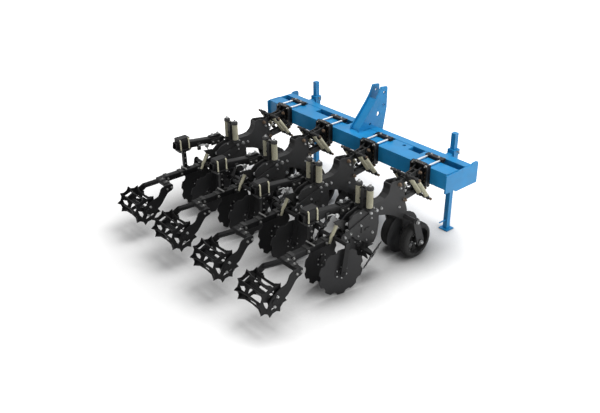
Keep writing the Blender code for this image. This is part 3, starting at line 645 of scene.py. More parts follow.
def build_headstock():
    """Two curved plates with bores, recessed cross plate, seat welds and pin bosses."""
    inner, thick, front = 0.0575, 0.015, 0.3903
    rear_edge = [
        (0.442, 0.462), (0.425, 0.425), (0.4, 0.375), (0.371, 0.332), (0.331, 0.282), (0.281, 0.225),
        (0.23, 0.166), (0.183, 0.116), (0.146, 0.078), (0.117, 0.047), (0.104, 0.028)]
    side_view = [
        (0.1, 0.0003), (front, 0.0003), (front, -0.095), (0.5, -0.095), (0.553, 0.2), (0.553, 0.44),
        (0.543, 0.455), (0.452, 0.467)] + rear_edge
    outline = [(TOOLBAR_Y + y, TOOLBAR_TOP + rise) for y, rise in side_view]
    pins = ((0.5, 0.392), (0.5, 0.24))
    bores = ((*pins[0], 0.0135), (*pins[1], 0.01), (0.41, 0.15, 0.027), (0.285, 0.056, 0.015))
    holes = [(TOOLBAR_Y + y, TOOLBAR_TOP + rise, radius) for y, rise, radius in bores]
    steel = bmesh.new()
    for side in (-1, 1):
        cut_plate(steel, outline, holes, side * (inner + thick / 2), thick)
        outside = side * (inner + thick + 0.002)
        for pin in pins:
            tube_path(steel, ring_points(bar_point, outside, *pin, 0.02, 20), 0.0025, 6, closed=True)
        for start, end in (((0.104, 0.004), (0.18, 0.004)), ((0.292, 0.004), (0.388, 0.004)),
                           ((0.3925, -0.002), (0.3925, -0.093))):
            weld(steel, (outside, *start), (outside, *end))
    # Cross plate between the plates, set in from their rear edge
    deeper = [(y + 0.022, rise - 0.008) for y, rise in rear_edge[3:]]
    thicker = [(y + 0.01, rise - 0.004) for y, rise in reversed(deeper)]
    web = deeper + [(0.122, 0.004), (0.136, 0.004)] + thicker[1:]
    side_plate(steel, [(TOOLBAR_Y + y, TOOLBAR_TOP + rise) for y, rise in web], 0.0, 2 * inner - 0.001)
    item = piece("headstock_plates", steel, "blue_coat", 35)
    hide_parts("headstock")


def build_toolbar_trim():
    """Weld beads of the toolbar and the locking pins of its stands."""
    steel, bolts = meshes(2)
    for side in (-1, 1):
        inside = side * 1.4595
        for y in (-0.0015, 0.1815):
            weld(steel, (inside, y, -0.004), (inside, y, -0.176))
        weld(steel, (inside, 0.004, 0.0015), (inside, 0.176, 0.0015))
        for y in (0.2885, 0.3915):
            weld(steel, (inside, y, -0.004), (inside, y, -0.096))
        # Locking pin with its ring at the stand's collar
        x = side * STAND_X
        rod(bolts, bar_point(x + 0.045, STAND_Y, 0.012), bar_point(x + 0.082, STAND_Y, 0.012), 0.006, 12)
        tube_path(bolts, ring_points(bar_point, x + 0.08, STAND_Y, 0.012, 0.018, 16), 0.0025, 6, closed=True)
    for middle, width in BRIDGES:
        for y in (0.1815, 0.2885):
            start, end = middle - width / 2 + 0.004, middle + width / 2 - 0.004
            weld(steel, (start, y, -0.003), (end, y, -0.003), 0.0035)
        for sign in (-1, 1):
            edge = middle + sign * (width / 2 + 0.001)
            weld(steel, (edge, 0.19, -0.012), (edge, 0.28, -0.012), 0.003)
    piece("toolbar_welds", steel, "blue_coat", 50)
    piece("toolbar_bolts", bolts, "dull_plate", 30)


def build_linkage(row):
    """Twin upper and lower links, load spring pins and yokes, stops and pin nuts."""
    at, _ = points(row)
    links, hardware, nuts = meshes(3)
    top, low, pin_reach = LOAD_SPRING_TOP, LOAD_SPRING_LOW, 0.032
    pin_ends = (min(LOAD_SPRING_X) - pin_reach, max(LOAD_SPRING_X) + pin_reach)

    def drawn(*ends):
        return [(y, TOOLBAR_TOP + drop) for y, drop in teardrop(*ends)]

    for front, rear, radius in ((UPPER_FRONT, UPPER_REAR, 0.026), (LOWER_FRONT, LOWER_REAR, 0.028)):
        for side in (-1, 1):
            row_plate(links, row, drawn(front, radius, rear, radius), side * 0.0285, 0.013)
        for share in (0.0, 0.28, 0.72, 1.0):
            y, drop = front[0] + (rear[0] - front[0]) * share, front[1] + (rear[1] - front[1]) * share
            rod(links, at(-0.023, y, drop), at(0.023, y, drop), 0.019, 14)
    for pin in (top, low):
        rod(links, at(pin_ends[0], *pin), at(pin_ends[1], *pin), 0.013, 14)
        for x, side in zip(pin_ends, (-1, 1)):
            hex_bolt(nuts, at(x, *pin), (side, 0, 0), 0.026, washer=False)
        for x in (-0.08, 0.135, 0.147):
            collar = ((0, 0.017), (0.002, 0.02), (0.01, 0.02), (0.012, 0.017))
            turned(links, at(x - 0.006, *pin), (1, 0, 0), collar, 16)
    for x in LOAD_SPRING_X:
        rod(links, at(x, *top), at(x, *low), 0.011, 12)
    # Yokes that carry the spring pins, and the brackets to the links
    for x in (-0.055, 0.055):
        row_plate(links, row, drawn((-0.25, -0.078), 0.032, top, 0.022), x, 0.01)
        row_plate(links, row, drawn((-0.06, -0.24), 0.034, low, 0.022), x, 0.01)
    # Yoke bars, and the stop between the links
    blocks(links, at, (
        ((-0.062, -0.275, -0.098), (0.062, -0.225, -0.058), 0.003),
        ((-0.062, -0.085, -0.262), (0.062, -0.038, -0.222), 0.003),
        ((-0.022, -0.185, -0.152), (0.022, -0.14, -0.108), 0.004)))
    # Depth cylinder and its rod
    start, end = at(0.0, -0.06, -0.115), at(0.0, -0.33, -0.215)
    along = (end - start).normalized()
    turned(links, start, along, ((0, 0.012), (0.004, 0.021), (0.15, 0.021), (0.155, 0.012)), 18)
    rod(hardware, start + along * 0.15, end, 0.008, 12)
    # Clamp ribs, saddle and grease points
    for side in (-1, 1):
        outer, inner = side * 0.109, side * 0.062
        blocks(links, at, (
            ((outer - 0.008, -0.058, -0.2), (outer + 0.008, CLAMP_BACK, 0.018), 0.003),
            ((inner - 0.005, -0.075, -0.14), (inner + 0.005, CLAMP_BACK, -0.07), 0.003)))
        for pivot in (UPPER_FRONT, LOWER_FRONT, UPPER_REAR, LOWER_REAR):
            hex_bolt(nuts, at(side * HALF_BODY, *pivot), (side, 0, 0), 0.034, tip=0.01)
        for drop in (-0.06, -0.105, -0.15):
            hex_bolt(nuts, at(side * TIE_ROD_X, CLAMP_BACK, drop), (0, -1, 0), 0.019)
        rod(hardware, at(side * 0.04, -0.046, 0.0305), at(side * 0.04, -0.046, 0.046), 0.004, 8)
        hex_bolt(hardware, at(side * 0.05, 0.205, 0.0345), (0, 0, 1), 0.02)
    block(links, at(-0.074, -0.06, 0.0305), at(0.074, -0.004, 0.04), 0.002)
    item = piece(f"row_{row}_linkage", links, "link_coat")
    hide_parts(f"row_{row}_links")
    piece(f"row_{row}_link_nuts", nuts, "brown_plate", 30)
    piece(f"row_{row}_link_rods", hardware, "zinc_plate", 30)


def build_rear_arms(row):
    """Rear beam with its clamp and post, lower arm, side disc carrier and roller fork."""
    at, over = points(row)
    body, plates = meshes(2)
    axle_y, axle_z = ROLLER_PLACE[1:]
    disc_x, disc_y, disc_z = SIDE_DISC_PLACE
    # Beam, its joint with the body plate, top bracket, and clamp block with its foot and cap plates
    square_tube(body, at(BEAM_X, -0.895, -0.207), at(BEAM_X, -1.557, -0.119), 0.08, 0.08)
    turned(body, at(-HALF_BODY - 0.0005, -0.92, -0.235), (-1, 0, 0),
           ((0, 0.026), (0.002, 0.028), (0.075, 0.028), (0.077, 0.026)), 20)
    blocks(body, at, (
        ((BEAM_X - 0.03, -1.08, -0.152), (BEAM_X + 0.03, -0.93, -0.128), 0.003),
        ((BEAM_X - 0.05, -1.522, -0.206), (BEAM_X + 0.05, -1.378, -0.052), 0.004),
        ((BEAM_X - 0.066, -1.528, -0.182), (BEAM_X + 0.066, -1.372, -0.17), 0.002),
        ((BEAM_X - 0.047, -1.526, -0.0525), (BEAM_X + 0.047, -1.374, -0.0385), 0.004)))
    # Post with its foot on the lower arm
    block(body, over(BEAM_X - 0.02, -1.462, ARM_Z - 0.03), at(BEAM_X + 0.02, -1.42, -0.2), 0.003)
    block(body, over(BEAM_X - 0.026, -1.487, ARM_Z - 0.034),
          over(ARM_X - ARM_HALF + 0.004, -1.395, ARM_Z + 0.022), 0.003)
    square_tube(body, over(ARM_X, FORK_Y + 0.06, ARM_Z), over(ARM_X, -1.115, ARM_Z), 2 * ARM_HALF, 2 * ARM_HALF)
    pin = over(-HALF_BODY - 0.0115, -1.145, ARM_Z + 0.02)
    rod(body, pin, pin + Vector((2 * HALF_BODY + 0.023, 0, 0)), 0.026, 20)
    for side in (-1, 1):
        strap = teardrop((-0.775, TOOLBAR_TOP - 0.285), 0.038, (-1.155, ARM_Z + 0.012), 0.048)
        row_plate(plates, row, strap, side * (HALF_BODY + 0.0063), 0.0118)
    # Side disc carrier
    tube_y, tube_z = disc_y + 0.04, ARM_Z + 0.034
    rod(body, over(-0.192, tube_y, tube_z), over(0.192, tube_y, tube_z), 0.019, 16)
    for side in (-1, 1):
        axis = Vector((side * math.cos(SIDE_DISC_TOE), -math.sin(SIDE_DISC_TOE), 0))
        centre = over(side * disc_x, disc_y, disc_z)
        end = centre + axis * ((0.202 - disc_x) / math.cos(SIDE_DISC_TOE))
        rod(body, centre + axis * 0.0266, end, 0.024, 18)
        arm = teardrop((tube_y, tube_z), 0.03, (end.y - row_origin(row).y, disc_z), 0.036)
        row_plate(body, row, arm, side * 0.191, 0.012)
    # Roller fork
    square_tube(body, over(FORK_X - 0.002, FORK_Y + 0.036, ARM_Z + 0.004),
                over(ARM_X - ARM_HALF + 0.004, FORK_Y + 0.036, ARM_Z + 0.004), 0.056, 0.056)
    outline = [(0.336, 0.16), (0.268, 0.146), (0.222, 0.09), (0.17, 0.022), (0.105, -0.02)]
    outline += arc((0, 0), 0.06, -60, -220, 8)
    outline += [(0.05, 0.112), (0.142, 0.126), (0.168, 0.17), (0.19, 0.222), (0.262, 0.24), (0.336, 0.228)]
    row_plate(body, row, smoothed([(axle_y + y, axle_z + z) for y, z in outline]), FORK_X, 0.012)
    knee = (axle_y + 0.19, axle_z + 0.1)
    square_tube(body, over(ARM_X + 0.01, FORK_Y + 0.04, ARM_Z + 0.002), over(-FORK_X - 0.004, *knee), 0.046, 0.048)
    row_plate(body, row, teardrop(knee, 0.036, (axle_y, axle_z), 0.044), -FORK_X, 0.012)
    for side in (-1, 1):
        profile = ((0, 0.03), (0.002, 0.032), (0.024, 0.032), (0.028, 0.028))
        turned(body, over(side * (ROLLER_HALF_WIDTH + 0.01), axle_y, axle_z), (side, 0, 0), profile, 24)
    item = piece(f"row_{row}_rear_beam", body, "arm_coat")
    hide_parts(f"row_{row}_rear_arm")
    piece(f"row_{row}_straps", plates, "plate_coat")


def build_arm_fittings(row):
    """Bolts, stop plates and pins on the lower arm, the beam, the fork and the spring tower."""
    at, over = points(row)
    dark, metal = meshes(2)
    # Stop plates across the arm, each with a bolt on both sides
    bolt_x = ARM_HALF + 0.006
    for y in (-1.215, -1.33, -1.56, -1.745):
        block(dark, over(ARM_X - ARM_HALF - 0.006, y - 0.022, ARM_Z - 0.03),
              over(ARM_X + ARM_HALF + 0.006, y + 0.022, ARM_Z + 0.041), 0.003)
        for side in (-1, 1):
            hex_bolt(metal, over(ARM_X + side * bolt_x, y, ARM_Z + 0.006), (side, 0, 0), 0.019)
    # Depth rack with its teeth on the arm, and the pin that locks it
    for step in range(7):
        y = -1.255 - 0.02 * step if step < 3 else -1.37 - 0.02 * step
        block(dark, over(ARM_X - 0.012, y - 0.005, ARM_Z + 0.033), over(ARM_X + 0.012, y + 0.005, ARM_Z + 0.05), 0.001)
    rod(metal, over(ARM_X - 0.062, -1.5, ARM_Z + 0.052), over(ARM_X + 0.06, -1.5, ARM_Z + 0.052), 0.008, 12)
    for z in (0.07, 0.14, 0.21):
        hex_bolt(metal, over(BEAM_X + 0.02, -1.441, ARM_Z + z), (1, 0, 0), 0.016)
    # Beam: clip with two bolts, and the eye of the hook bracket
    block(dark, at(BEAM_X + 0.0405, -1.085, -0.235), at(BEAM_X + 0.05, -0.96, -0.165), 0.002)
    for y in (-1.06, -0.985):
        hex_bolt(metal, at(BEAM_X + 0.05, y, -0.198 - BEAM_SLOPE * (y + 1.02)), (1, 0, 0), 0.018)
    block(dark, at(BEAM_X + 0.03, -1.275, -0.24), at(BEAM_X + 0.052, -1.235, -0.15), 0.003)
    # Fork: bolts at its head, and pads with a bolt on the cross tube
    for y, rise in ((0.318, 0.194), (0.262, 0.19)):
        hex_bolt(metal, over(FORK_X + 0.006, ROLLER_PLACE[1] + y, ROLLER_PLACE[2] + rise), (1, 0, 0), 0.019)
    for x in (0.02, 0.11):
        block(dark, over(x - 0.02, FORK_Y + 0.004, ARM_Z + 0.03),
              over(x + 0.02, FORK_Y + 0.068, ARM_Z + 0.038), 0.002)
        hex_bolt(metal, over(x, FORK_Y + 0.036, ARM_Z + 0.038), (0, 0, 1), 0.016)
    # Spring tower: guide rods, cross bars and bolts
    for x in (-0.03, 0.03):
        rod(metal, at(x, TOWER_Y + 0.02, -0.185), at(x, TOWER_Y + 0.02, 0.018), 0.006, 10)
        hex_bolt(metal, at(x, TOWER_Y + 0.02, 0.012), (0, 0, 1), 0.017)
    block(dark, at(-0.046, TOWER_Y - 0.018, -0.002), at(0.046, TOWER_Y + 0.036, 0.01), 0.002)
    block(dark, at(-0.04, TOWER_Y - 0.03, -0.12), at(0.04, TOWER_Y + 0.028, -0.1), 0.002)
    for side in (-1, 1):
        hex_bolt(metal, at(side * 0.1, TOWER_Y + 0.036, -0.19), (0, 0, 1), 0.017)
    piece(f"row_{row}_arm_fittings", dark, "link_coat", 30)
    piece(f"row_{row}_arm_bolts", metal, "dull_plate", 30)


def build_adjusters(row):
    """Depth adjuster, hook bracket and small spring behind the tine holder."""
    at, _ = points(row)
    metal, dark, wire = meshes(3)
    # Hook bracket that hangs from the rear beam
    hook = ((-0.08, -1.262, -0.215), (-0.07, -1.262, -0.18), (-0.045, -1.225, -0.166),
            (-0.02, -1.19, -0.18), (-0.02, -1.172, -0.24), (-0.02, -1.157, -0.332))
    tube_path(metal, [at(*point) for point in hook], 0.0062, 8)
    eye = ((0, 0.02), (0.003, 0.024), (0.021, 0.024), (0.024, 0.02))
    turned(metal, at(-0.032, -1.186, -0.186), (1, 0, 0), eye, 16)
    # Threaded adjuster with its nuts, across the straps
    start, end = at(-0.02, -1.184, -0.318), at(-0.02, -0.985, -0.366)
    rod(metal, start, end, 0.0075, 12)
    for share in (0.2, 0.52, 0.78):
        hex_bolt(metal, start.lerp(end, share), (end - start).normalized(), 0.028)
    for y, drop, flats in ((-1.077, -0.306, 0.03), (-1.075, -0.384, 0.034), (-1.06, -0.438, 0.028),
                           (-1.086, -0.497, 0.03)):
        hex_bolt(metal, at(0.004, y, drop), (1, 0, 0), flats, tip=0.012)
    # Pull ring
    tube_path(metal, ring_points(at, 0.055, -1.000, -0.362, 0.026, 16), 0.0038, 6, closed=True)
    # Small spring with its casing and end eyes
    top, low = at(-0.02, -1.19, -0.283), at(-0.02, -1.292, -0.456)
    coil(wire, top, low, 0.0165, 0.0036, 0.0088)
    rod(wire, top, low, 0.0135, 12)
    for end, way in ((top, top - low), (low, low - top)):
        turned(dark, end, way, ((-0.006, 0.012), (-0.003, 0.021), (0.004, 0.021), (0.014, 0.012)), 14)
    rod(dark, at(-0.045, -1.165, -0.32), at(-0.045, -1.27, -0.5), 0.014, 12)
    # Hanger plate between the straps
    hanger = ((-1.25, 0.225), (-1.13, 0.24), (-1.05, 0.29), (-1.05, 0.42), (-1.1, 0.44), (-1.15, 0.33))
    row_plate(dark, row, [(y, TOOLBAR_TOP - depth) for y, depth in hanger], -0.006, 0.01)
    piece(f"row_{row}_adjuster_metal", metal, "zinc_plate", 35)
    piece(f"row_{row}_adjuster_dark", dark, "link_coat", 35)
    piece(f"row_{row}_adjuster_spring", wire, "spring_coat", 60)


def build_gauge_wheels(row):
    """Ribbed tyres, rims, webs with windows and hubs of the gauge wheels."""
    inner, outer, radius = GAUGE_INNER_X, GAUGE_OUTER_X, GAUGE_RADIUS
    bead = radius - 0.0475
    web = inner + 0.36 * (outer - inner)
    # Half of the tyre from its bead to the tread: distance from the side face, radius
    wall = ((0.003, bead), (0.0005, bead + 0.006), (0.001, 0.172), (0.005, 0.185), (0.013, 0.194),
            (0.024, radius - 0.0012))
    tyre = [(outer - inset, reach) for inset, reach in wall]
    for middle in (outer - 0.034, (inner + outer) / 2, inner + 0.034):
        tyre += [(middle + 0.0045, radius), (middle + 0.003, radius - 0.0035)]
        tyre += [(middle - 0.003, radius - 0.0035), (middle - 0.0045, radius)]
    tyre += [(inner + inset, reach) for inset, reach in reversed(wall)]
    rim = [(outer - 0.002, bead + 0.001), (inner + 0.002, bead + 0.001), (inner + 0.001, bead - 0.002),
           (web - 0.001, bead - 0.012), (web + 0.011, bead - 0.012), (outer - 0.001, bead - 0.002)]
    hub = [(inner + 0.013, 0.02), (inner + 0.013, 0.032), (inner + 0.016, 0.0345), (web - 0.004, 0.036),
           (web - 0.002, 0.062), (web + 0.012, 0.062), (web + 0.014, 0.038), (outer - 0.006, 0.033),
           (outer - 0.0012, 0.03), (outer - 0.0012, 0.02)]
    pitch = 2 * math.pi / GAUGE_WINDOWS
    body = f"row_{row}_gauge_wheels"
    centre = row_origin(row) + Vector((0, GAUGE_Y, 0.2))
    for name, side in SIDES:
        rubber, disc, bolts = meshes(3)
        for target, profile in ((rubber, tyre), (disc, rim)):
            rings = [circle(centre + Vector((side * x, 0, 0)), (1, 0, 0), reach, 72) for x, reach in profile]
            loft(target, rings, closed=True)
        turned(disc, centre, (side, 0, 0), hub, 36)
        for index in range(GAUGE_WINDOWS):
            middle = math.pi / 2 + pitch * (index + 0.5)
            spoke = ((-0.5, 0.06), (-0.46, 0.075), (-0.42, 0.115), (-0.46, 0.13), (-0.52, bead - 0.004))
            outline = [(middle + share * (pitch - 0.7), reach) for share, reach in spoke]
            outline += [(2 * middle - angle, reach) for angle, reach in reversed(outline)]
            rim_points = [(centre.y + reach * math.cos(a), centre.z + reach * math.sin(a)) for a, reach in outline]
            side_plate(disc, rim_points, centre.x + side * (web + 0.005), 0.009, 0.001)
            place = centre + Vector((side * (web + 0.0118), 0.05 * math.cos(middle), 0.05 * math.sin(middle)))
            hex_bolt(bolts, place, (side, 0, 0), 0.015)
        item = piece(f"row_{row}_tyre_{name}", rubber, "tyre_rubber", 50, body)
        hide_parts(f"row_{row}_gauge_wheel_{name}")
        piece(f"row_{row}_rim_{name}", disc, "link_coat", 40, body)
        piece(f"row_{row}_rim_bolts_{name}", bolts, "zinc_plate", 30, body)


def lean_matrix(place, row, lean, toe):
    """Places a wheel made round local X."""
    origin = row_origin(row) + Vector(place)
    return Matrix.Translation(origin) @ Matrix.Rotation(toe, 4, "Z") @ Matrix.Rotation(lean, 4, "Y")


def bolt_ring(target, shift, radius, face_x, flats):
    """Six bolt heads round the X axis on both faces of a disc, the first one shifted by a share of the pitch."""
    for step in range(6):
        angle = 2 * math.pi * (step + shift) / 6
        for face in (-1, 1):
            place = (face * face_x, radius * math.cos(angle), radius * math.sin(angle))
            hex_bolt(target, place, (face, 0, 0), flats, washer=False)


def build_discs(row):
    """Opener disc, star wheels and side discs with their hubs and hub bolts."""
    round_x, centre = (1, 0, 0), (0, 0, 0)
    opener_rim = []
    for step in range(24):
        turn = step / 24
        notch = 0.03 * max(0.0, math.cos(2 * math.pi * (turn - 0.5)) - 0.55)
        opener_rim.append((turn - 0.5, 1.0 - notch))
    # Rim of a side disc: round land, then a smooth notch
    notched = [(-0.25 + 0.5 * step / 6, 1.0) for step in range(7)]
    for step in range(1, 8):
        angle = math.pi * (step / 8 - 0.5)
        notched.append((0.5 + 0.22 * math.sin(angle), 1.0 - 0.1 * math.cos(angle)))
    finger = [(0.0, 1.0), (0.07, 0.985), (0.14, 0.94), (0.24, 0.84), (0.36, 0.745), (0.5, 0.66),
              (0.62, 0.63), (0.74, 0.68), (0.86, 0.8), (0.95, 0.93)]
    turn = Matrix.Translation(row_origin(row) + Vector(OPENER_PLACE))
    disc = bmesh.new()
    side_plate(disc, toothed(OPENER_RADIUS, 11, opener_rim), 0.0, 0.006, 0.0008)
    turned(disc, centre, round_x, ((-0.022, 0.036), (-0.02, 0.04), (0.02, 0.04), (0.022, 0.036)), 32)
    item = piece(f"row_{row}_opener", disc, "disc_coat", 35, f"row_{row}_opener", turn)
    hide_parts(f"row_{row}_opener_disc")
    for name, side in SIDES:
        x, y, z = STAR_PLACE
        turn = lean_matrix((side * x, y, z), row, side * STAR_LEAN, side * STAR_TOE)
        star, bolts = meshes(2)
        side_plate(star, toothed(STAR_RADIUS, STAR_TEETH, finger), 0.0, 0.008, 0.001)
        turned(star, centre, round_x, ((-0.014, 0.034), (-0.011, 0.038), (0.011, 0.038), (0.014, 0.034)), 28)
        bolt_ring(bolts, 0, 0.058, 0.004, 0.013)
        body = f"row_{row}_star_{name}"
        item = piece(f"row_{row}_star_blade_{name}", star, "disc_coat", 35, body, turn)
        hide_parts(f"row_{row}_star_wheel_{name}")
        piece(f"row_{row}_star_bolts_{name}", bolts, "zinc_plate", 30, body, turn)
        x, y, z = SIDE_DISC_PLACE
        turn = lean_matrix((side * x, y, z), row, 0.0, -side * SIDE_DISC_TOE)
        disc, bolts = meshes(2)
        side_plate(disc, toothed(z - 0.0004, SIDE_DISC_NOTCHES, notched), 0.0, 0.006, 0.0008)
        hub = ((-0.02, 0.04), (-0.017, 0.045), (0.0, 0.046), (0.022, 0.043), (0.026, 0.038))
        turned(disc, centre, (side, 0, 0), hub, 32)
        flange = ((-0.006, 0.078), (-0.0045, 0.08), (0.0045, 0.08), (0.006, 0.078))
        turned(disc, centre, (side, 0, 0), flange, 40)
        bolt_ring(bolts, 0.5, 0.062, 0.006, 0.016)
        body = f"row_{row}_disc_{name}"
        item = piece(f"row_{row}_side_blade_{name}", disc, "disc_coat", 35, body, turn)
        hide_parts(f"row_{row}_side_disc_{name}")
        piece(f"row_{row}_side_bolts_{name}", bolts, "zinc_plate", 30, body, turn)


def paint_nodes():
    """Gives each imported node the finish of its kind, or else of its material slot."""
    slots = {
        "blue_paint": "blue_coat", "black_paint": "plate_coat", "link_paint": "link_coat",
        "disc_steel": "disc_coat", "rubber": "tyre_rubber"}
    kinds = {"clamp": "clamp_coat", "roller": "arm_coat", "rear_arm": "arm_coat"}
    for label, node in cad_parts.items():
        kind = label.split("_", 2)[-1]
        for place, slot in enumerate(node.data.materials):
            stem = slot.name.split(".")[0]
            if kind not in kinds and stem not in slots:
                raise RuntimeError(f"node {node.name} has the unknown finish {stem}")
            node.data.materials[place] = finish(kinds.get(kind) or slots[stem])


def view_rays(graph):
    """1 for camera, glossy and transmission rays, and 0 for the light that falls on the object."""
    path = graph.add("ShaderNodeLightPath")
    seen = path.out("Is Camera Ray") + path.out("Is Glossy Ray") + path.out("Is Transmission Ray")
    return graph.add("ShaderNodeClamp", {"Value": seen}).out("Result")


def build_floor():
    """Pale floor that keeps the object's shadow and turns white away from it."""
    material, graph = new_material("floor_white")
    place = graph.add("ShaderNodeTexCoord").out("Object")
    reach = graph.add("ShaderNodeVectorMath", {0: place}, operation="LENGTH").out("Value")
    glow = graph.add(
        "ShaderNodeMapRange",
        {"Value": reach, "From Min": 1.3, "From Max": 3.8, "To Min": 0.16, "To Max": 0.95},
        interpolation_type="SMOOTHSTEP").out("Result")
    grain = graph.add("ShaderNodeTexNoise", {"Vector": place, "Scale": 3.0, "Detail": 3.0}).out("Fac")
    # Openness above the floor within reach: the floor's colour and its glow are scaled by it, a painted shadow that
    # deepens the soft shadow under the machine
    near = graph.add("ShaderNodeAmbientOcclusion", {"Distance": 0.75}, samples=16).out("AO")
    wide = graph.add("ShaderNodeAmbientOcclusion", {"Distance": 1.5}, samples=16).out("AO")
    open_share = graph.add(
        "ShaderNodeMapRange",
        {"Value": near * 0.6 + wide * 0.4, "From Min": 0.25, "From Max": 0.97, "To Min": 0.06, "To Max": 1.0}
    ).out("Result")
    surface = graph.add("ShaderNodeBsdfDiffuse", {"Color": (grain * 0.04 + 0.86) * open_share}).out("BSDF")
    light = graph.add("ShaderNodeEmission", {"Strength": glow * view_rays(graph) * open_share}).out("Emission")
    both = graph.add("ShaderNodeAddShader", {0: surface, 1: light}).out("Shader")
    graph.add("ShaderNodeOutputMaterial", {"Surface": both})
    mesh = bpy.data.meshes.new("floor")
    half = FLOOR_HALF
    mesh.from_pydata([(-half, -half, 0), (half, -half, 0), (half, half, 0), (-half, half, 0)], [], [(0, 1, 2, 3)])
    mesh.materials.append(material)
    floor = new_object("floor", mesh)
    floor.location = (0, 0, FLOOR_DROP)


def build_world(ambient):
    """Even surround of the given strength, white where it is seen or mirrored."""
    world = bpy.data.worlds.new("surround")
    bpy.context.scene.world = world
    world.use_nodes = True
    graph = Graph(world.node_tree)
    background = graph.add(
        "ShaderNodeBackground", {"Color": (1.0, 1.0, 1.0, 1.0), "Strength": view_rays(graph) * 0.78 + ambient})
    graph.add("ShaderNodeOutputWorld", {"Surface": background.out("Background")})


def build_lights():
    """Wide overhead lamp and softer ones from the right and from behind."""
    for name, place, aim, size, power in (
            ("top_lamp", (0.5, 1.6, 6.3), (0.2, 0.2, 0.0), 4.0, 340.0),
            ("side_lamp", (6.8, 2.2, 2.6), (0.0, 0.2, 0.6), 3.0, 190.0),
            ("rear_lamp", (2.2, -7.0, 2.0), (0.2, 0.0, 0.6), 3.6, 120.0)):
        data = bpy.data.lights.new(name, "AREA")
        data.shape = "DISK"
        data.size = size
        data.energy = power
        item = new_object(name, data)
        item.location = place
        item.rotation_euler = (Vector(aim) - Vector(place)).to_track_quat("-Z", "Y").to_euler()


def build_camera():
    data = bpy.data.cameras.new("photo_camera")
    data.sensor_fit = "HORIZONTAL"
    data.sensor_width = CAMERA_SENSOR
    data.lens = CAMERA_LENS
    data.clip_end = 200.0
    camera = new_object("photo_camera", data)
    flat = math.cos(CAMERA_TILT)
    back = Vector((math.sin(CAMERA_TURN) * flat, -math.cos(CAMERA_TURN) * flat, math.sin(CAMERA_TILT)))
    level = Vector((math.cos(CAMERA_TURN), math.sin(CAMERA_TURN), 0.0))
    upright = back.cross(level)
    right = level * math.cos(CAMERA_ROLL) + upright * math.sin(CAMERA_ROLL)
    up = upright * math.cos(CAMERA_ROLL) - level * math.sin(CAMERA_ROLL)
    turn = Matrix((right, up, back)).transposed().to_4x4()
    camera.matrix_world = Matrix.Translation(CAMERA_PLACE) @ turn
    bpy.context.scene.camera = camera


class StripTillSettings(bpy.types.PropertyGroup):
    """Settings shared by the operators."""

    ambient: bpy.props.FloatProperty(name="Ambient light", default=0.22, min=0.0, max=1.0)


class STRIPTILL_OT_paint(bpy.types.Operator):
    """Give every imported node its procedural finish"""

    bl_idname = "striptill.paint"
    bl_label = "Paint nodes"

    def execute(self, context):
        paint_nodes()
        return {"FINISHED"}


class STRIPTILL_OT_springs(bpy.types.Operator):
    """Build the spring coils, cups and threaded ends"""

    bl_idname = "striptill.springs"
    bl_label = "Build springs"

    def execute(self, context):
        for row in ROWS:
            build_springs(row)
        return {"FINISHED"}


class STRIPTILL_OT_fasteners(bpy.types.Operator):
    """Build the bolts, tie rods and U-bolts"""

    bl_idname = "striptill.fasteners"
    bl_label = "Build fasteners"

    def execute(self, context):
        for row in ROWS:
            build_fasteners(row)
        return {"FINISHED"}


class STRIPTILL_OT_toolbar(bpy.types.Operator):
    """Build the headstock and the toolbar's welds, bolts and pins"""

    bl_idname = "striptill.toolbar"
    bl_label = "Build toolbar trim"

    def execute(self, context):
        build_headstock()
        build_toolbar_trim()
        return {"FINISHED"}


class STRIPTILL_OT_linkage(bpy.types.Operator):
    """Build the links, spring pins and clamp fittings"""

    bl_idname = "striptill.linkage"
    bl_label = "Build linkage"

    def execute(self, context):
        for row in ROWS:
            build_linkage(row)
        return {"FINISHED"}


class STRIPTILL_OT_arms(bpy.types.Operator):
    """Build the rear beams, posts, lower arms and roller forks"""

    bl_idname = "striptill.arms"
    bl_label = "Build rear arms"

    def execute(self, context):
        for row in ROWS:
            build_rear_arms(row)
        for row in ROWS:
            build_arm_fittings(row)
        return {"FINISHED"}


class STRIPTILL_OT_adjusters(bpy.types.Operator):
    """Build the adjusters, hook brackets and small springs"""

    bl_idname = "striptill.adjusters"
    bl_label = "Build adjusters"

    def execute(self, context):
        for row in ROWS:
            build_adjusters(row)
        return {"FINISHED"}


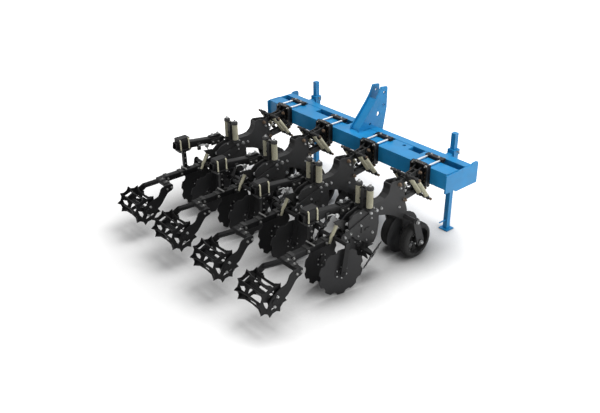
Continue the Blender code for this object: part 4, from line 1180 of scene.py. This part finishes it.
class STRIPTILL_OT_wheels(bpy.types.Operator):
    """Build the gauge wheels' tyres and rims"""

    bl_idname = "striptill.wheels"
    bl_label = "Build gauge wheels"

    def execute(self, context):
        for row in ROWS:
            build_gauge_wheels(row)
        return {"FINISHED"}


class STRIPTILL_OT_discs(bpy.types.Operator):
    """Build the opener discs, star wheels and side discs"""

    bl_idname = "striptill.discs"
    bl_label = "Build discs"

    def execute(self, context):
        for row in ROWS:
            build_discs(row)
        return {"FINISHED"}


class STRIPTILL_OT_stage(bpy.types.Operator):
    """Build the floor, the light and the camera"""

    bl_idname = "striptill.stage"
    bl_label = "Build stage"

    def execute(self, context):
        build_floor()
        build_world(context.scene.striptill.ambient)
        build_lights()
        build_camera()
        context.scene.view_settings.view_transform = "Standard"
        return {"FINISHED"}


# In the order in which main() runs them
OPERATORS = (
    STRIPTILL_OT_paint, STRIPTILL_OT_springs, STRIPTILL_OT_fasteners, STRIPTILL_OT_toolbar, STRIPTILL_OT_linkage,
    STRIPTILL_OT_arms, STRIPTILL_OT_adjusters, STRIPTILL_OT_wheels, STRIPTILL_OT_discs, STRIPTILL_OT_stage)


class STRIPTILL_PT_panel(bpy.types.Panel):
    """Buttons for each group of pieces"""

    bl_idname = "STRIPTILL_PT_panel"
    bl_label = "Strip-till cultivator"
    bl_space_type = "VIEW_3D"
    bl_region_type = "UI"
    bl_category = "Strip-till"

    def draw(self, context):
        self.layout.prop(context.scene.striptill, "ambient")
        for entry in OPERATORS:
            self.layout.operator(entry.bl_idname)


CLASSES = (StripTillSettings, *OPERATORS, STRIPTILL_PT_panel)


def register():
    for entry in CLASSES:
        bpy.utils.register_class(entry)
    bpy.types.Scene.striptill = bpy.props.PointerProperty(type=StripTillSettings)


def unregister():
    del bpy.types.Scene.striptill
    for entry in reversed(CLASSES):
        bpy.utils.unregister_class(entry)


def main():
    register()
    bpy.ops.striptill.paint()
    bpy.ops.striptill.springs()
    bpy.ops.striptill.fasteners()
    bpy.ops.striptill.toolbar()
    bpy.ops.striptill.linkage()
    bpy.ops.striptill.arms()
    bpy.ops.striptill.adjusters()
    bpy.ops.striptill.wheels()
    bpy.ops.striptill.discs()
    bpy.ops.striptill.stage()


if __name__ == "__main__":
    main()
